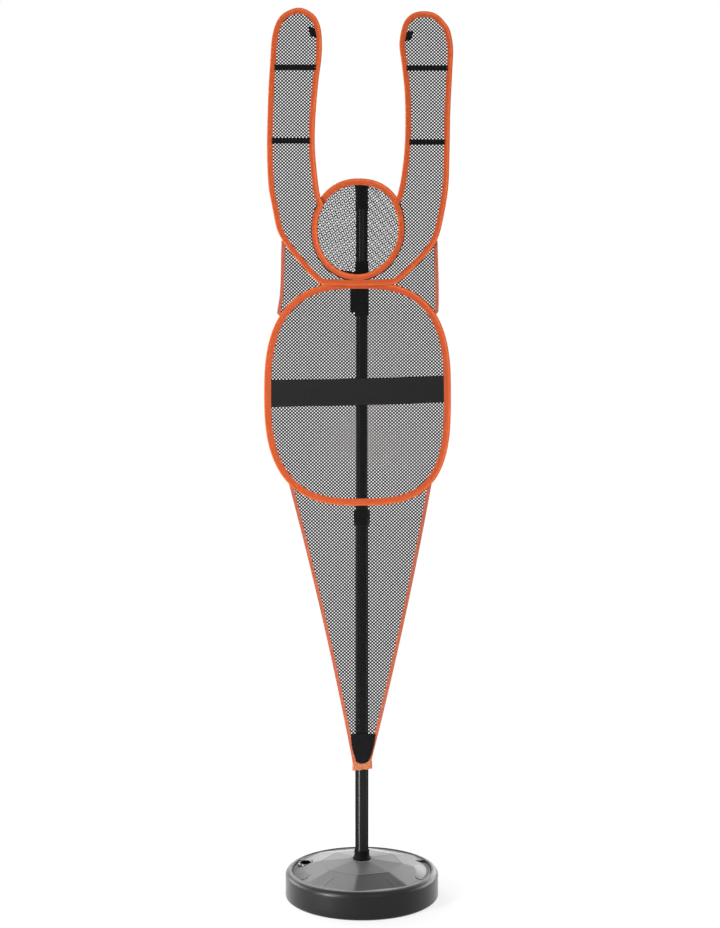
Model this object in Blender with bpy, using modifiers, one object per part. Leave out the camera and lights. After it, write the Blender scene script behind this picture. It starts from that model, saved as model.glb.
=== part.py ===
"""Basketball defensive mannequin: a net figure on a telescoping pole and base.

Metres, +Z up. The origin is on the floor at the middle of the base, the pole
stands on the Z axis and the figure faces -Y, fully extended.
"""

import math

import bmesh
import bpy
from mathutils import Matrix

# General fits
GAP = 0.0003
MERGE = 0.00005

# Base tank, a hollow shell with an octagonal crown
BASE_RADIUS = 0.1845
BASE_RIM_Z = 0.0635
BASE_WALL = 0.004
BASE_FOOT_RADIUS = 0.006
SHOULDER_RADIUS = 0.013
LAND_DROP = 0.0015
LAND_STEP = 0.0008
RIM_WIDTH = 0.0035
CROWN_MID_RADIUS = 0.100
CROWN_MID_Z = 0.078
CROWN_TOP_RADIUS = 0.030
CROWN_TOP_Z = 0.086
CROWN_TURN = math.radians(-6)
CROWN_SUNK = 0.002
POCKET_TOP_RADIUS = 0.120
POCKET_TOP_Z = 0.0744
POCKET_FLOOR_RADIUS = 0.156
POCKET_FRONT = math.radians(30)
POCKET_BACK = math.radians(22)
POCKET_DEPTH = 0.003
BASE_STEPS = 48

# Pole
LOWER_TUBE_RADIUS = 0.015875
UPPER_TUBE_RADIUS = 0.0143
TUBE_WALL = 0.0012
WELL_FLOOR_Z = 0.030
LOWER_TUBE_TOP = 0.918
TUBE_OVERLAP = 0.150
UPPER_TUBE_BOTTOM = LOWER_TUBE_TOP - TUBE_OVERLAP
SOCKET_TOP = 0.108
SOCKET_WALL = 0.0012
SOCKET_FLOOR = 0.002
SOCKET_FOOT_RADIUS = 0.0217
SOCKET_FOOT_HEIGHT = 0.008
LOCK_SKIRT = 0.020
LOCK_HEAD = 0.014
LOCK_BOTTOM = LOWER_TUBE_TOP - LOCK_SKIRT
LOCK_TOP = LOWER_TUBE_TOP + LOCK_HEAD
LOCK_BODY_WALL = 0.0016
LOCK_FLANGE = 0.005
FINGER_WALL = 0.0024
LOCK_RADIUS = 0.0200
PLUG_LENGTH = 0.015
PLUG_RIM = 0.003
TOP_CAP_HEIGHT = 0.0035
TUBE_STEPS = 32

# Fill opening and its cap
FILL_X = -0.137
FILL_Y = 0.026
FILL_BOSS_RADIUS = 0.019
FILL_BOSS_TOP = 0.0725
FILL_RECESS_RADIUS = 0.0148
FILL_RECESS_Z = 0.064
CAP_RADIUS = 0.0115
CAP_SHANK_RADIUS = 0.0095
CAP_HEIGHT = 0.005
SEAL_THICKNESS = 0.0012

# Sprung hoops and their folded bindings
WIRE_RADIUS = 0.0015
TAPE = 0.0008
BINDING_HALF_DEPTH = 0.0026
LEG_HALF_DEPTH = 0.00135
CLOTH = 0.0006
CLOTH_INSET = 0.0052
FIGURE_X = -0.0091
RING_PLANE = -(LOCK_RADIUS + 0.001 + BINDING_HALF_DEPTH)
ARMS_PLANE = RING_PLANE - 2 * BINDING_HALF_DEPTH - GAP
SEAM_GAP = 0.001

# Torso hoop, with one superellipse exponent for each quarter
TORSO_X = FIGURE_X - 0.0012
TORSO_Z = 1.210
TORSO_HALF_WIDTH = 0.2245
TORSO_HALF_HEIGHT = 0.269
TORSO_EXPONENTS = (2.78, 2.65, 2.68, 3.1)
TORSO_BINDING = 0.017
TORSO_POINTS = 56
NET_CLEARANCE = 0.0006

# Head hoop
HEAD_HALF_WIDTH = 0.113
HEAD_HALF_HEIGHT = 0.1235
HEAD_EXPONENTS = (2.28, 2.1, 2.1, 1.9)
HEAD_BINDING = 0.016
HEAD_POINTS = 40
HEAD_Z = TORSO_Z + TORSO_HALF_HEIGHT + SEAM_GAP + HEAD_HALF_HEIGHT
HEAD_TOP = HEAD_Z + HEAD_HALF_HEIGHT
HEAD_BOTTOM = HEAD_Z - HEAD_HALF_HEIGHT
POLE_TOP_DROP = 0.0227
UPPER_TUBE_TOP = HEAD_TOP - POLE_TOP_DROP

# Arms hoop: its free edges, measured from the middle of the neck, run from
# the bottom middle up the right arm to the neck, then down the left arm
ARMS_BINDING = 0.014
ARMS_Z = 1.6012
ARMS_BOTTOM = ARMS_Z - HEAD_BOTTOM - HEAD_BINDING + 2 * ARMS_BINDING + GAP
ARMS_BOTTOM_HALF = 0.043
ARMS_BOTTOM_RISE = 0.001
RIGHT_ARM = (
    (0.085, -0.1296), (0.1104, -0.114), (0.132, -0.0936), (0.168, -0.0552), (0.192, -0.018),
    (0.2064, 0.0396), (0.2167, 0.1068), (0.2196, 0.1932), (0.2215, 0.2892), (0.2268, 0.3948),
    (0.228, 0.438), (0.2208, 0.4788), (0.2064, 0.5016), (0.1872, 0.5191), (0.1603, 0.5256),
    (0.132, 0.5206), (0.1116, 0.5016), (0.102, 0.4716), (0.0991, 0.4404), (0.1044, 0.3996),
    (0.1111, 0.3372), (0.1133, 0.270), (0.1111, 0.1932), (0.1032, 0.126), (0.0936, 0.0828),
)
LEFT_ARM = (
    (-0.0912, 0.0852), (-0.0972, 0.126), (-0.1032, 0.1932), (-0.1027, 0.2604), (-0.096, 0.3468),
    (-0.0881, 0.4092), (-0.0864, 0.4476), (-0.0905, 0.4884), (-0.1068, 0.5184), (-0.1409, 0.534),
    (-0.1764, 0.522), (-0.1956, 0.4992), (-0.2064, 0.462), (-0.2105, 0.4092), (-0.2155, 0.3252),
    (-0.2184, 0.2052), (-0.2153, 0.1116), (-0.2064, 0.0588), (-0.1956, 0.006), (-0.1824, -0.0228),
    (-0.1584, -0.0564), (-0.1286, -0.0914), (-0.1068, -0.1152), (-0.085, -0.1296),
)
NECK_START = math.radians(32)
NECK_SPANS = 16
SPAN_BEND = math.radians(14)

# Shoulder gussets: each side edge runs from the arm, measured from the middle
# of the neck, down to the torso hoop, where it lies inside the hoop's width
SIDE_TAPE = 0.009
SIDE_TAPE_DEPTH = 0.002
GUSSET_ARM_X = {"left": -0.184, "right": 0.191}
GUSSET_ARM_Z = -0.024
GUSSET_BEND_Z = -0.140
GUSSET_BEND_X = 0.003
GUSSET_TORSO_INSET = {"left": 0.0310, "right": 0.0300}
GUSSET_TOP = ((0.167, -0.037), (0.154, -0.052), (0.124, -0.0875), (0.102, -0.111), (0.088, -0.123))

# Skirt from the torso hoop down to the hem
SKIRT_TOP_DROP = 0.217
SKIRT_BOW = 0.0062
SKIRT_SPANS = 6
HEM_BOTTOM = 0.305
HEM_HEIGHT = 0.022
HEM_HALF_WIDTH = 0.0225
HEM_CLEARANCE = 0.0007
HEM_THICKNESS = 0.002

# Straps, bands and patches
STRAP = 0.0015
STRAP_PLANE = RING_PLANE + BINDING_HALF_DEPTH + GAP
STRAP_TAIL = 0.012
HEAD_STRAP_BOTTOM = HEAD_BOTTOM + 0.0073
HEAD_STRAP_HEIGHT = 0.0405
TORSO_STRAP_TOP = TORSO_Z + TORSO_HALF_HEIGHT - 0.009
TORSO_STRAP_HEIGHT = 0.0707
POCKET_HEIGHT = 0.0495
CHEST_BAND_HEIGHT = 0.065
CHEST_BAND_LIFT = 0.0059
CHEST_BAND_RISE = 0.0102
PATCH = 0.0012
ARM_BAND_HEIGHT = 0.0135
ARM_BAND_MARGIN = 0.0012
ARM_BANDS = {
    "arm_band_left_upper": ("left", 0.3905),
    "arm_band_left_lower": ("left", 0.2145),
    "arm_band_right_upper": ("right", 0.3890),
    "arm_band_right_lower": ("right", 0.2115),
}
HAND_TABS = {"hand_tab_left": ("left", 0.475), "hand_tab_right": ("right", 0.466)}
HAND_TAB_WIDTH = 0.0135
HAND_TAB_HEIGHT = 0.024
# Patch at the skirt's foot, X from the pole and Z from the hem's bottom
FOOT_PATCH = (
    (-0.0265, 0.088), (-0.024, 0.057), (-0.0195, 0.035), (-0.0125, 0.0215), (0.0005, 0.0165),
    (0.0135, 0.0215), (0.0215, 0.035), (0.0280, 0.057), (0.0325, 0.088),
)


def clear_scene():
    for existing in list(bpy.data.objects):
        bpy.data.objects.remove(existing)


def make_collection(name):
    collection = bpy.data.collections.new(name)
    bpy.context.scene.collection.children.link(collection)
    return collection


def make_material(name, colour, roughness, metallic=0.0):
    material = bpy.data.materials.new(name)
    material.use_nodes = True
    shader = material.node_tree.nodes["Principled BSDF"]
    shader.inputs["Base Color"].default_value = (*colour, 1.0)
    shader.inputs["Roughness"].default_value = roughness
    shader.inputs["Metallic"].default_value = metallic
    return material


def add_mesh(name, mesh, material, collection):
    thing = bpy.data.objects.new(name, mesh)
    if material:
        mesh.materials.append(material)
    collection.objects.link(thing)
    return thing


# Outlines, as (x, z) points that run counterclockwise seen from the front


def quarter_exponent(exponents, angle):
    return exponents[int((angle % math.tau) // (math.pi / 2))]


def superellipse_point(half_width, half_height, exponents, angle):
    power = 2 / quarter_exponent(exponents, angle)
    cosine = math.cos(angle)
    sine = math.sin(angle)
    x = half_width * math.copysign(abs(cosine) ** power, cosine)
    z = half_height * math.copysign(abs(sine) ** power, sine)
    return x, z


def ring_outline(centre, half_width, half_height, exponents, count):
    points = []
    for index in range(count):
        x, z = superellipse_point(half_width, half_height, exponents, math.tau * index / count)
        points.append((centre[0] + x, centre[1] + z))
    return points


def torso_edge_z(x, side, clearance=0.0):
    """Height of the torso hoop's outer edge at x, side +1 above and -1 below."""
    offset = x - TORSO_X
    if side > 0:
        exponent = TORSO_EXPONENTS[0] if offset > 0 else TORSO_EXPONENTS[1]
    else:
        exponent = TORSO_EXPONENTS[3] if offset > 0 else TORSO_EXPONENTS[2]
    half_width = TORSO_HALF_WIDTH + clearance
    half_height = TORSO_HALF_HEIGHT + clearance
    share = max(0.0, 1 - (abs(offset) / half_width) ** exponent)
    return TORSO_Z + side * half_height * share ** (1 / exponent)


def torso_edge_x(z, side, clearance=0.0):
    """X of the torso hoop's outer edge at a height below its middle."""
    exponent = TORSO_EXPONENTS[3] if side > 0 else TORSO_EXPONENTS[2]
    half_width = TORSO_HALF_WIDTH + clearance
    half_height = TORSO_HALF_HEIGHT + clearance
    share = 1 - (abs(z - TORSO_Z) / half_height) ** exponent
    return TORSO_X + side * half_width * share ** (1 / exponent)


def turn_between(before, middle, after):
    first = math.atan2(middle[1] - before[1], middle[0] - before[0])
    second = math.atan2(after[1] - middle[1], after[0] - middle[0])
    return abs(math.remainder(second - first, math.tau))


def smooth_loop(control):
    """Closed Catmull-Rom curve, with a middle point on each span that bends."""
    points = []
    count = len(control)
    weights = (-0.0625, 0.5625, 0.5625, -0.0625)
    for index in range(count):
        corners = [control[(index + step) % count] for step in (-1, 0, 1, 2)]
        points.append(corners[1])
        bend = max(turn_between(*corners[:3]), turn_between(*corners[1:]))
        if bend > SPAN_BEND:
            points.append(tuple(sum(w * c[axis] for w, c in zip(weights, corners)) for axis in (0, 1)))
    return points


def offset_loop(points, distance):
    """Loop moved inward by a distance, vertex by vertex."""
    moved = []
    count = len(points)
    for index, (x, z) in enumerate(points):
        directions = []
        for start, end in ((points[index - 1], (x, z)), ((x, z), points[(index + 1) % count])):
            length = math.dist(start, end)
            directions.append(((end[0] - start[0]) / length, (end[1] - start[1]) / length))
        tangent = (directions[0][0] + directions[1][0], directions[0][1] + directions[1][1])
        length = math.hypot(*tangent)
        moved.append((x - distance * tangent[1] / length, z + distance * tangent[0] / length))
    return moved


def torso_outline():
    centre = (TORSO_X, TORSO_Z)
    return ring_outline(centre, TORSO_HALF_WIDTH, TORSO_HALF_HEIGHT, TORSO_EXPONENTS, TORSO_POINTS)


def head_outline():
    centre = (FIGURE_X, HEAD_Z)
    return ring_outline(centre, HEAD_HALF_WIDTH, HEAD_HALF_HEIGHT, HEAD_EXPONENTS, HEAD_POINTS)


def arms_outline():
    """Outer edge of the arms hoop, whose neck follows the head hoop's inner edge."""
    half_width = HEAD_HALF_WIDTH - HEAD_BINDING
    half_height = HEAD_HALF_HEIGHT - HEAD_BINDING
    neck = []
    sweep = math.pi + 2 * NECK_START
    for index in range(NECK_SPANS + 1):
        angle = NECK_START - sweep * index / NECK_SPANS
        x, z = superellipse_point(half_width, half_height, HEAD_EXPONENTS, angle)
        neck.append((x, z + HEAD_Z - ARMS_Z))
    beside = ARMS_BOTTOM_RISE - ARMS_BOTTOM
    bottom = [(-ARMS_BOTTOM_HALF, beside), (0.0, -ARMS_BOTTOM), (ARMS_BOTTOM_HALF, beside)]
    control = bottom + list(RIGHT_ARM) + neck + list(LEFT_ARM)
    return smooth_loop([(FIGURE_X + x, ARMS_Z + z) for x, z in control])


# Modelling helpers


def poly_curve(name, loops, cyclic, dimensions):
    curve = bpy.data.curves.new(name, "CURVE")
    curve.dimensions = dimensions
    for loop in loops:
        spline = curve.splines.new("POLY")
        spline.points.add(len(loop) - 1)
        for point, place in zip(spline.points, loop):
            point.co = (*place, *([0.0] * (3 - len(place))), 1.0)
        spline.use_cyclic_u = cyclic
    return curve


def curve_to_mesh(thing, name, material, collection):
    """The curve's surface as a mesh object, welded and placed as the curve was."""
    bpy.context.view_layer.update()
    graph = bpy.context.evaluated_depsgraph_get()
    mesh = bpy.data.meshes.new_from_object(thing.evaluated_get(graph))
    mesh.materials.clear()
    work = bmesh.new()
    work.from_mesh(mesh)
    bmesh.ops.remove_doubles(work, verts=work.verts, dist=MERGE)
    bmesh.ops.recalc_face_normals(work, faces=work.faces)
    work.to_mesh(mesh)
    work.free()
    place = thing.matrix_world.copy()
    bpy.data.objects.remove(thing)
    result = add_mesh(name, mesh, material, collection)
    result.matrix_world = place
    return result


def plate(name, loops, thickness, place, material, collection):
    """Flat outline, with holes, as a slab of the given thickness."""
    curve = poly_curve(name, loops, True, "2D")
    curve.fill_mode = "BOTH"
    curve.extrude = thickness / 2
    thing = bpy.data.objects.new(name, curve)
    collection.objects.link(thing)
    thing.matrix_world = place
    return curve_to_mesh(thing, name, material, collection)


def facing(y):
    """Placement that stands a flat outline upright in the plane at y."""
    return Matrix.Translation((0, y, 0)) @ Matrix.Rotation(math.pi / 2, 4, "X")


def upright_plate(name, outline, thickness, y, material, collection):
    return plate(name, [outline], thickness, facing(y), material, collection)


def swept(name, path, cyclic, y, profile, material, collection, guides):
    """Closed profile swept along an upright path, its +X turned into the loop."""
    section = [(-x, y) for x, y in profile]
    guide = bpy.data.objects.new(name + "_profile", poly_curve(name, [section], True, "2D"))
    guide.hide_render = True
    guide.display_type = "WIRE"
    guides.objects.link(guide)
    curve = poly_curve(name, [path], cyclic, "3D")
    curve.twist_mode = "Z_UP"
    curve.bevel_mode = "OBJECT"
    curve.bevel_object = guide
    curve.use_fill_caps = True
    thing = bpy.data.objects.new(name, curve)
    collection.objects.link(thing)
    thing.matrix_world = facing(y)
    return curve_to_mesh(thing, name, material, collection)


def wire(name, path, y, material, collection):
    """Closed round wire along an upright path."""
    curve = poly_curve(name, [path], True, "3D")
    curve.bevel_depth = WIRE_RADIUS
    curve.bevel_resolution = 1
    thing = bpy.data.objects.new(name, curve)
    collection.objects.link(thing)
    thing.matrix_world = facing(y)
    result = curve_to_mesh(thing, name, material, collection)
    result.data.shade_smooth()
    return result


def turned(name, profile, closed, steps, material, collection):
    """Profile of (radius, z) turned about Z, listed down its outer side."""
    mesh = bpy.data.meshes.new(name)
    last = len(profile)
    edges = [(index, index + 1) for index in range(last - 1)]
    if closed:
        edges.append((last - 1, 0))
    mesh.from_pydata([(radius, 0.0, z) for radius, z in profile], edges, [])
    thing = add_mesh(name, mesh, material, collection)
    screw = thing.modifiers.new("turn", "SCREW")
    screw.steps = steps
    screw.render_steps = steps
    screw.use_merge_vertices = True
    screw.merge_threshold = MERGE
    screw.use_smooth_shade = False
    return thing


def tube(name, inner, outer, bottom, top, material, collection):
    profile = [(outer, top), (outer, bottom), (inner, bottom), (inner, top)]
    return turned(name, profile, True, TUBE_STEPS, material, collection)


def cutter_look(thing):
    thing.hide_render = True
    thing.display_type = "WIRE"
    return thing


def boolean(target, operation, other):
    modifier = target.modifiers.new(other.name, "BOOLEAN")
    modifier.operation = operation
    modifier.object = other


# Base


def arc_points(centre, radius, start, end, spans):
    points = []
    for index in range(spans + 1):
        angle = start + (end - start) * index / spans
        points.append((centre[0] + radius * math.cos(angle), centre[1] + radius * math.sin(angle)))
    return points


def pocket_sector(start, end):
    """Ring sector, wider than the pocket, between its two end directions."""
    inner = arc_points((0, 0), POCKET_TOP_RADIUS - 0.01, start, end, 8)
    outer = arc_points((0, 0), BASE_RADIUS, end, start, 12)
    return inner + outer


def land_radius():
    return BASE_RADIUS - SHOULDER_RADIUS - RIM_WIDTH


def build_base(parts, cutters):
    plastic = make_material("black_hdpe", (0.045, 0.045, 0.05), 0.5)
    land_z = BASE_RIM_Z - LAND_DROP
    shoulder_centre = (BASE_RADIUS - SHOULDER_RADIUS, BASE_RIM_Z - SHOULDER_RADIUS)
    foot_centre = (BASE_RADIUS - BASE_FOOT_RADIUS, BASE_FOOT_RADIUS)
    profile = [(0.0, land_z), (land_radius(), land_z), (land_radius() + LAND_STEP, BASE_RIM_Z)]
    profile += arc_points(shoulder_centre, SHOULDER_RADIUS, math.pi / 2, 0, 4)
    profile += arc_points(foot_centre, BASE_FOOT_RADIUS, 0, -math.pi / 2, 3)
    profile.append((0.0, 0.0))
    tank = turned("base_tank", profile, False, BASE_STEPS, plastic, parts)

    slope = (land_radius() - CROWN_MID_RADIUS) / (CROWN_MID_Z - land_z)
    crown_profile = [
        (0.0, CROWN_TOP_Z),
        (CROWN_TOP_RADIUS, CROWN_TOP_Z),
        (CROWN_MID_RADIUS, CROWN_MID_Z),
        (land_radius() + slope * CROWN_SUNK, land_z - CROWN_SUNK),
        (0.0, land_z - CROWN_SUNK),
    ]
    crown = cutter_look(turned("crown", crown_profile, False, 8, None, cutters))
    crown.rotation_euler.z = CROWN_TURN
    boolean(tank, "UNION", crown)

    ends = (("right", -POCKET_FRONT, POCKET_BACK), ("left", math.pi - POCKET_BACK, math.pi + POCKET_FRONT))
    for side, start, end in ends:
        pocket = turned("pocket_" + side, [
            (POCKET_TOP_RADIUS, POCKET_TOP_Z),
            (POCKET_FLOOR_RADIUS, land_z - POCKET_DEPTH),
            (land_radius(), land_z - POCKET_DEPTH),
            (land_radius(), CROWN_TOP_Z + 0.005),
            (POCKET_TOP_RADIUS, CROWN_TOP_Z + 0.005),
        ], True, BASE_STEPS, None, cutters)
        place = Matrix.Translation((0, 0, CROWN_TOP_Z))
        sector = plate("sector_" + side, [pocket_sector(start, end)], 0.1, place, None, cutters)
        boolean(pocket, "INTERSECT", cutter_look(sector))
        boolean(tank, "DIFFERENCE", cutter_look(pocket))

    boss_bottom = land_z - POCKET_DEPTH - 0.001
    boss = turned("fill_boss", [
        (0.0, FILL_BOSS_TOP),
        (FILL_BOSS_RADIUS - 0.001, FILL_BOSS_TOP),
        (FILL_BOSS_RADIUS, FILL_BOSS_TOP - 0.001),
        (FILL_BOSS_RADIUS, boss_bottom),
        (0.0, boss_bottom),
    ], False, 24, None, cutters)
    boss.location = (FILL_X, FILL_Y, 0)
    boolean(tank, "UNION", cutter_look(boss))

    well_radius = LOWER_TUBE_RADIUS + GAP + 2 * SOCKET_WALL + GAP
    core_radius = well_radius + BASE_WALL
    inner_radius = BASE_RADIUS - BASE_WALL
    roof = land_z - POCKET_DEPTH - BASE_WALL + 0.0005
    cavity = turned("cavity", [
        (core_radius, CROWN_TOP_Z - BASE_WALL),
        (CROWN_TOP_RADIUS - 0.002, CROWN_TOP_Z - BASE_WALL),
        (CROWN_MID_RADIUS - 0.008, CROWN_MID_Z - BASE_WALL),
        (CROWN_MID_RADIUS + 0.012, CROWN_MID_Z - 0.009),
        (CROWN_MID_RADIUS + 0.019, roof),
        (inner_radius - 0.0175, roof),
        (inner_radius - 0.004, roof - 0.006),
        (inner_radius, roof - 0.013),
        (inner_radius, BASE_WALL + 0.004),
        (inner_radius - 0.004, BASE_WALL),
        (0.0, BASE_WALL),
        (0.0, WELL_FLOOR_Z - BASE_WALL),
        (core_radius, WELL_FLOOR_Z - BASE_WALL),
    ], True, BASE_STEPS, None, cutters)
    boolean(tank, "DIFFERENCE", cutter_look(cavity))

    bores = (
        ("well", well_radius, WELL_FLOOR_Z, CROWN_TOP_Z + 0.01, (0, 0)),
        ("fill_recess", FILL_RECESS_RADIUS, FILL_RECESS_Z, FILL_BOSS_TOP + 0.01, (FILL_X, FILL_Y)),
        ("fill_hole", CAP_SHANK_RADIUS + GAP, roof - 0.005, FILL_RECESS_Z + 0.004, (FILL_X, FILL_Y)),
    )
    for name, radius, bottom, top, (x, y) in bores:
        profile = [(0.0, top), (radius, top), (radius, bottom), (0.0, bottom)]
        bore = turned(name, profile, False, TUBE_STEPS, None, cutters)
        bore.location = (x, y, 0)
        boolean(tank, "DIFFERENCE", cutter_look(bore))


def build_socket(parts):
    plastic = make_material("socket_plastic", (0.02, 0.02, 0.022), 0.55)
    bore = LOWER_TUBE_RADIUS + GAP
    sleeve = bore + 2 * SOCKET_WALL
    foot_z = CROWN_TOP_Z + GAP
    turned("pole_socket", [
        (bore, SOCKET_TOP),
        (bore + SOCKET_WALL, SOCKET_TOP),
        (bore + SOCKET_WALL, foot_z + SOCKET_FOOT_HEIGHT),
        (SOCKET_FOOT_RADIUS, foot_z + SOCKET_FOOT_HEIGHT / 3),
        (SOCKET_FOOT_RADIUS, foot_z),
        (sleeve, foot_z),
        (sleeve, WELL_FLOOR_Z + GAP),
        (0.0, WELL_FLOOR_Z + GAP),
        (0.0, WELL_FLOOR_Z + GAP + SOCKET_FLOOR),
        (bore, WELL_FLOOR_Z + GAP + SOCKET_FLOOR),
    ], True, TUBE_STEPS, plastic, parts)


def build_fill_cap(parts):
    rubber = make_material("seal_rubber", (0.03, 0.03, 0.03), 0.8)
    plastic = make_material("cap_plastic", (0.012, 0.012, 0.013), 0.4)
    seal_bottom = FILL_RECESS_Z + GAP
    seal_top = seal_bottom + SEAL_THICKNESS
    seal = turned("fill_cap_seal", [
        (CAP_RADIUS, seal_top),
        (CAP_RADIUS, seal_bottom),
        (CAP_SHANK_RADIUS + GAP, seal_bottom),
        (CAP_SHANK_RADIUS + GAP, seal_top),
    ], True, 24, rubber, parts)
    head_bottom = seal_top + GAP
    head_top = head_bottom + CAP_HEIGHT
    cap = turned("fill_cap", [
        (0.0, head_top),
        (CAP_RADIUS - 0.001, head_top),
        (CAP_RADIUS, head_top - 0.001),
        (CAP_RADIUS, head_bottom),
        (CAP_SHANK_RADIUS, head_bottom),
        (CAP_SHANK_RADIUS, FILL_RECESS_Z - 0.004),
        (CAP_SHANK_RADIUS - 0.001, FILL_RECESS_Z - 0.005),
        (0.0, FILL_RECESS_Z - 0.005),
    ], False, 24, plastic, parts)
    for thing in (seal, cap):
        thing.location = (FILL_X, FILL_Y, 0)


# Pole


def build_pole(parts):
    painted = make_material("painted_steel", (0.012, 0.012, 0.014), 0.25, 0.6)
    plastic = make_material("lock_plastic", (0.015, 0.015, 0.016), 0.45)
    lower_bottom = WELL_FLOOR_Z + 2 * GAP + SOCKET_FLOOR
    lower_inner = LOWER_TUBE_RADIUS - TUBE_WALL
    tube("lower_tube", lower_inner, LOWER_TUBE_RADIUS, lower_bottom, LOWER_TUBE_TOP, painted, parts)
    upper_inner = UPPER_TUBE_RADIUS - TUBE_WALL
    tube("upper_tube", upper_inner, UPPER_TUBE_RADIUS, UPPER_TUBE_BOTTOM, UPPER_TUBE_TOP, painted, parts)

    body_inner = LOWER_TUBE_RADIUS + GAP
    body_outer = body_inner + LOCK_BODY_WALL
    finger_inner = UPPER_TUBE_RADIUS + GAP
    lip_z = LOWER_TUBE_TOP + GAP
    turned("lock_body", [
        (finger_inner, LOCK_TOP - 0.003),
        (finger_inner + FINGER_WALL, LOCK_TOP - 0.003),
        (body_outer, LOWER_TUBE_TOP + 0.003),
        (body_outer, LOCK_BOTTOM - GAP),
        (body_outer + 0.0008, LOCK_BOTTOM - GAP),
        (body_outer + 0.0008, LOCK_BOTTOM - LOCK_FLANGE),
        (body_inner, LOCK_BOTTOM - LOCK_FLANGE),
        (body_inner, lip_z),
        (finger_inner, lip_z),
    ], True, TUBE_STEPS, plastic, parts)

    nut_inner = body_outer + GAP
    nut_lip = LOCK_TOP - 0.0027
    middle = (LOCK_BOTTOM + LOCK_TOP) / 2
    turned("lock_nut", [
        (finger_inner, LOCK_TOP),
        (LOCK_RADIUS - 0.0022, LOCK_TOP),
        (LOCK_RADIUS - 0.0014, LOCK_TOP - 0.001),
        (LOCK_RADIUS, middle + 0.004),
        (LOCK_RADIUS, middle - 0.004),
        (LOCK_RADIUS - 0.0008, LOCK_BOTTOM),
        (nut_inner, LOCK_BOTTOM),
        (nut_inner, nut_lip),
        (finger_inner, nut_lip),
    ], True, TUBE_STEPS, plastic, parts)

    shank = upper_inner - GAP
    turned("upper_tube_plug", [
        (0.0, UPPER_TUBE_BOTTOM + PLUG_LENGTH),
        (shank, UPPER_TUBE_BOTTOM + PLUG_LENGTH),
        (shank, UPPER_TUBE_BOTTOM - GAP),
        (UPPER_TUBE_RADIUS, UPPER_TUBE_BOTTOM - GAP),
        (UPPER_TUBE_RADIUS, UPPER_TUBE_BOTTOM - PLUG_RIM),
        (0.0, UPPER_TUBE_BOTTOM - PLUG_RIM),
    ], False, TUBE_STEPS, plastic, parts)
    turned("top_cap", [
        (0.0, UPPER_TUBE_TOP + TOP_CAP_HEIGHT),
        (UPPER_TUBE_RADIUS - 0.0025, UPPER_TUBE_TOP + TOP_CAP_HEIGHT),
        (UPPER_TUBE_RADIUS, UPPER_TUBE_TOP + TOP_CAP_HEIGHT - 0.002),
        (UPPER_TUBE_RADIUS, UPPER_TUBE_TOP + GAP),
        (shank, UPPER_TUBE_TOP + GAP),
        (shank, UPPER_TUBE_TOP - PLUG_LENGTH),
        (0.0, UPPER_TUBE_TOP - PLUG_LENGTH),
    ], False, TUBE_STEPS, plastic, parts)


# Figure


def folded_profile(width):
    """Tape folded round the wire, its two legs open toward the cloth."""
    wire_x = WIRE_RADIUS + TAPE + 0.0006
    leg_inner = LEG_HALF_DEPTH - TAPE
    pocket = BINDING_HALF_DEPTH - TAPE
    outer = [
        (width, LEG_HALF_DEPTH),
        (wire_x + 0.0011, BINDING_HALF_DEPTH),
        (0.0009, BINDING_HALF_DEPTH - 0.0006),
        (0.0, 0.0),
    ]
    inner = [
        (width, leg_inner + 0.00005),
        (wire_x + 0.0012, pocket + 0.00005),
        (wire_x - WIRE_RADIUS + 0.0003, pocket - 0.0002),
        (TAPE + 0.00015, 0.0),
    ]
    mirrored_outer = [(x, -y) for x, y in reversed(outer[:-1])]
    mirrored_inner = [(x, -y) for x, y in reversed(inner[:-1])]
    return outer + mirrored_outer + list(reversed(inner + mirrored_inner))


def flat_profile(width):
    half = width / 2
    depth = SIDE_TAPE_DEPTH / 2
    edge = 0.0006
    return [
        (half, depth - edge),
        (half - edge, depth),
        (edge - half, depth),
        (-half, depth - edge),
        (-half, edge - depth),
        (edge - half, -depth),
        (half - edge, -depth),
        (half, edge - depth),
    ]


def build_hoops(parts, guides):
    orange = make_material("orange_tape", (0.83, 0.12, 0.035), 0.75)
    spring = make_material("spring_steel", (0.5, 0.5, 0.52), 0.3, 1.0)
    cloth = make_material("black_mesh", (0.02, 0.02, 0.022), 0.85)
    hoops = (
        ("torso", torso_outline(), RING_PLANE, TORSO_BINDING, "torso_mesh"),
        ("head", head_outline(), RING_PLANE, HEAD_BINDING, "head_mesh_front"),
        ("arms", arms_outline(), ARMS_PLANE, ARMS_BINDING, "arms_mesh"),
    )
    wire_inset = TAPE + 0.0006 + WIRE_RADIUS
    for name, outline, plane, width, mesh_name in hoops:
        swept(name + "_binding", outline, True, plane, folded_profile(width), orange, parts, guides)
        wire(name + "_wire", offset_loop(outline, wire_inset), plane, spring, parts)
        upright_plate(mesh_name, offset_loop(outline, CLOTH_INSET), CLOTH, plane, cloth, parts)


def gusset_edge(name, side):
    """Free side edge of a gusset, from the arm down to the torso hoop."""
    start = FIGURE_X + GUSSET_ARM_X[name]
    end = TORSO_X + side * (TORSO_HALF_WIDTH - GUSSET_TORSO_INSET[name])
    inner = end - side * SIDE_TAPE
    foot = torso_edge_z(inner, 1, NET_CLEARANCE) + SIDE_TAPE_DEPTH
    bend_x = start + side * GUSSET_BEND_X
    return [(start, ARMS_Z + GUSSET_ARM_Z), (bend_x, ARMS_Z + GUSSET_BEND_Z), (end, foot)]


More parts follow.
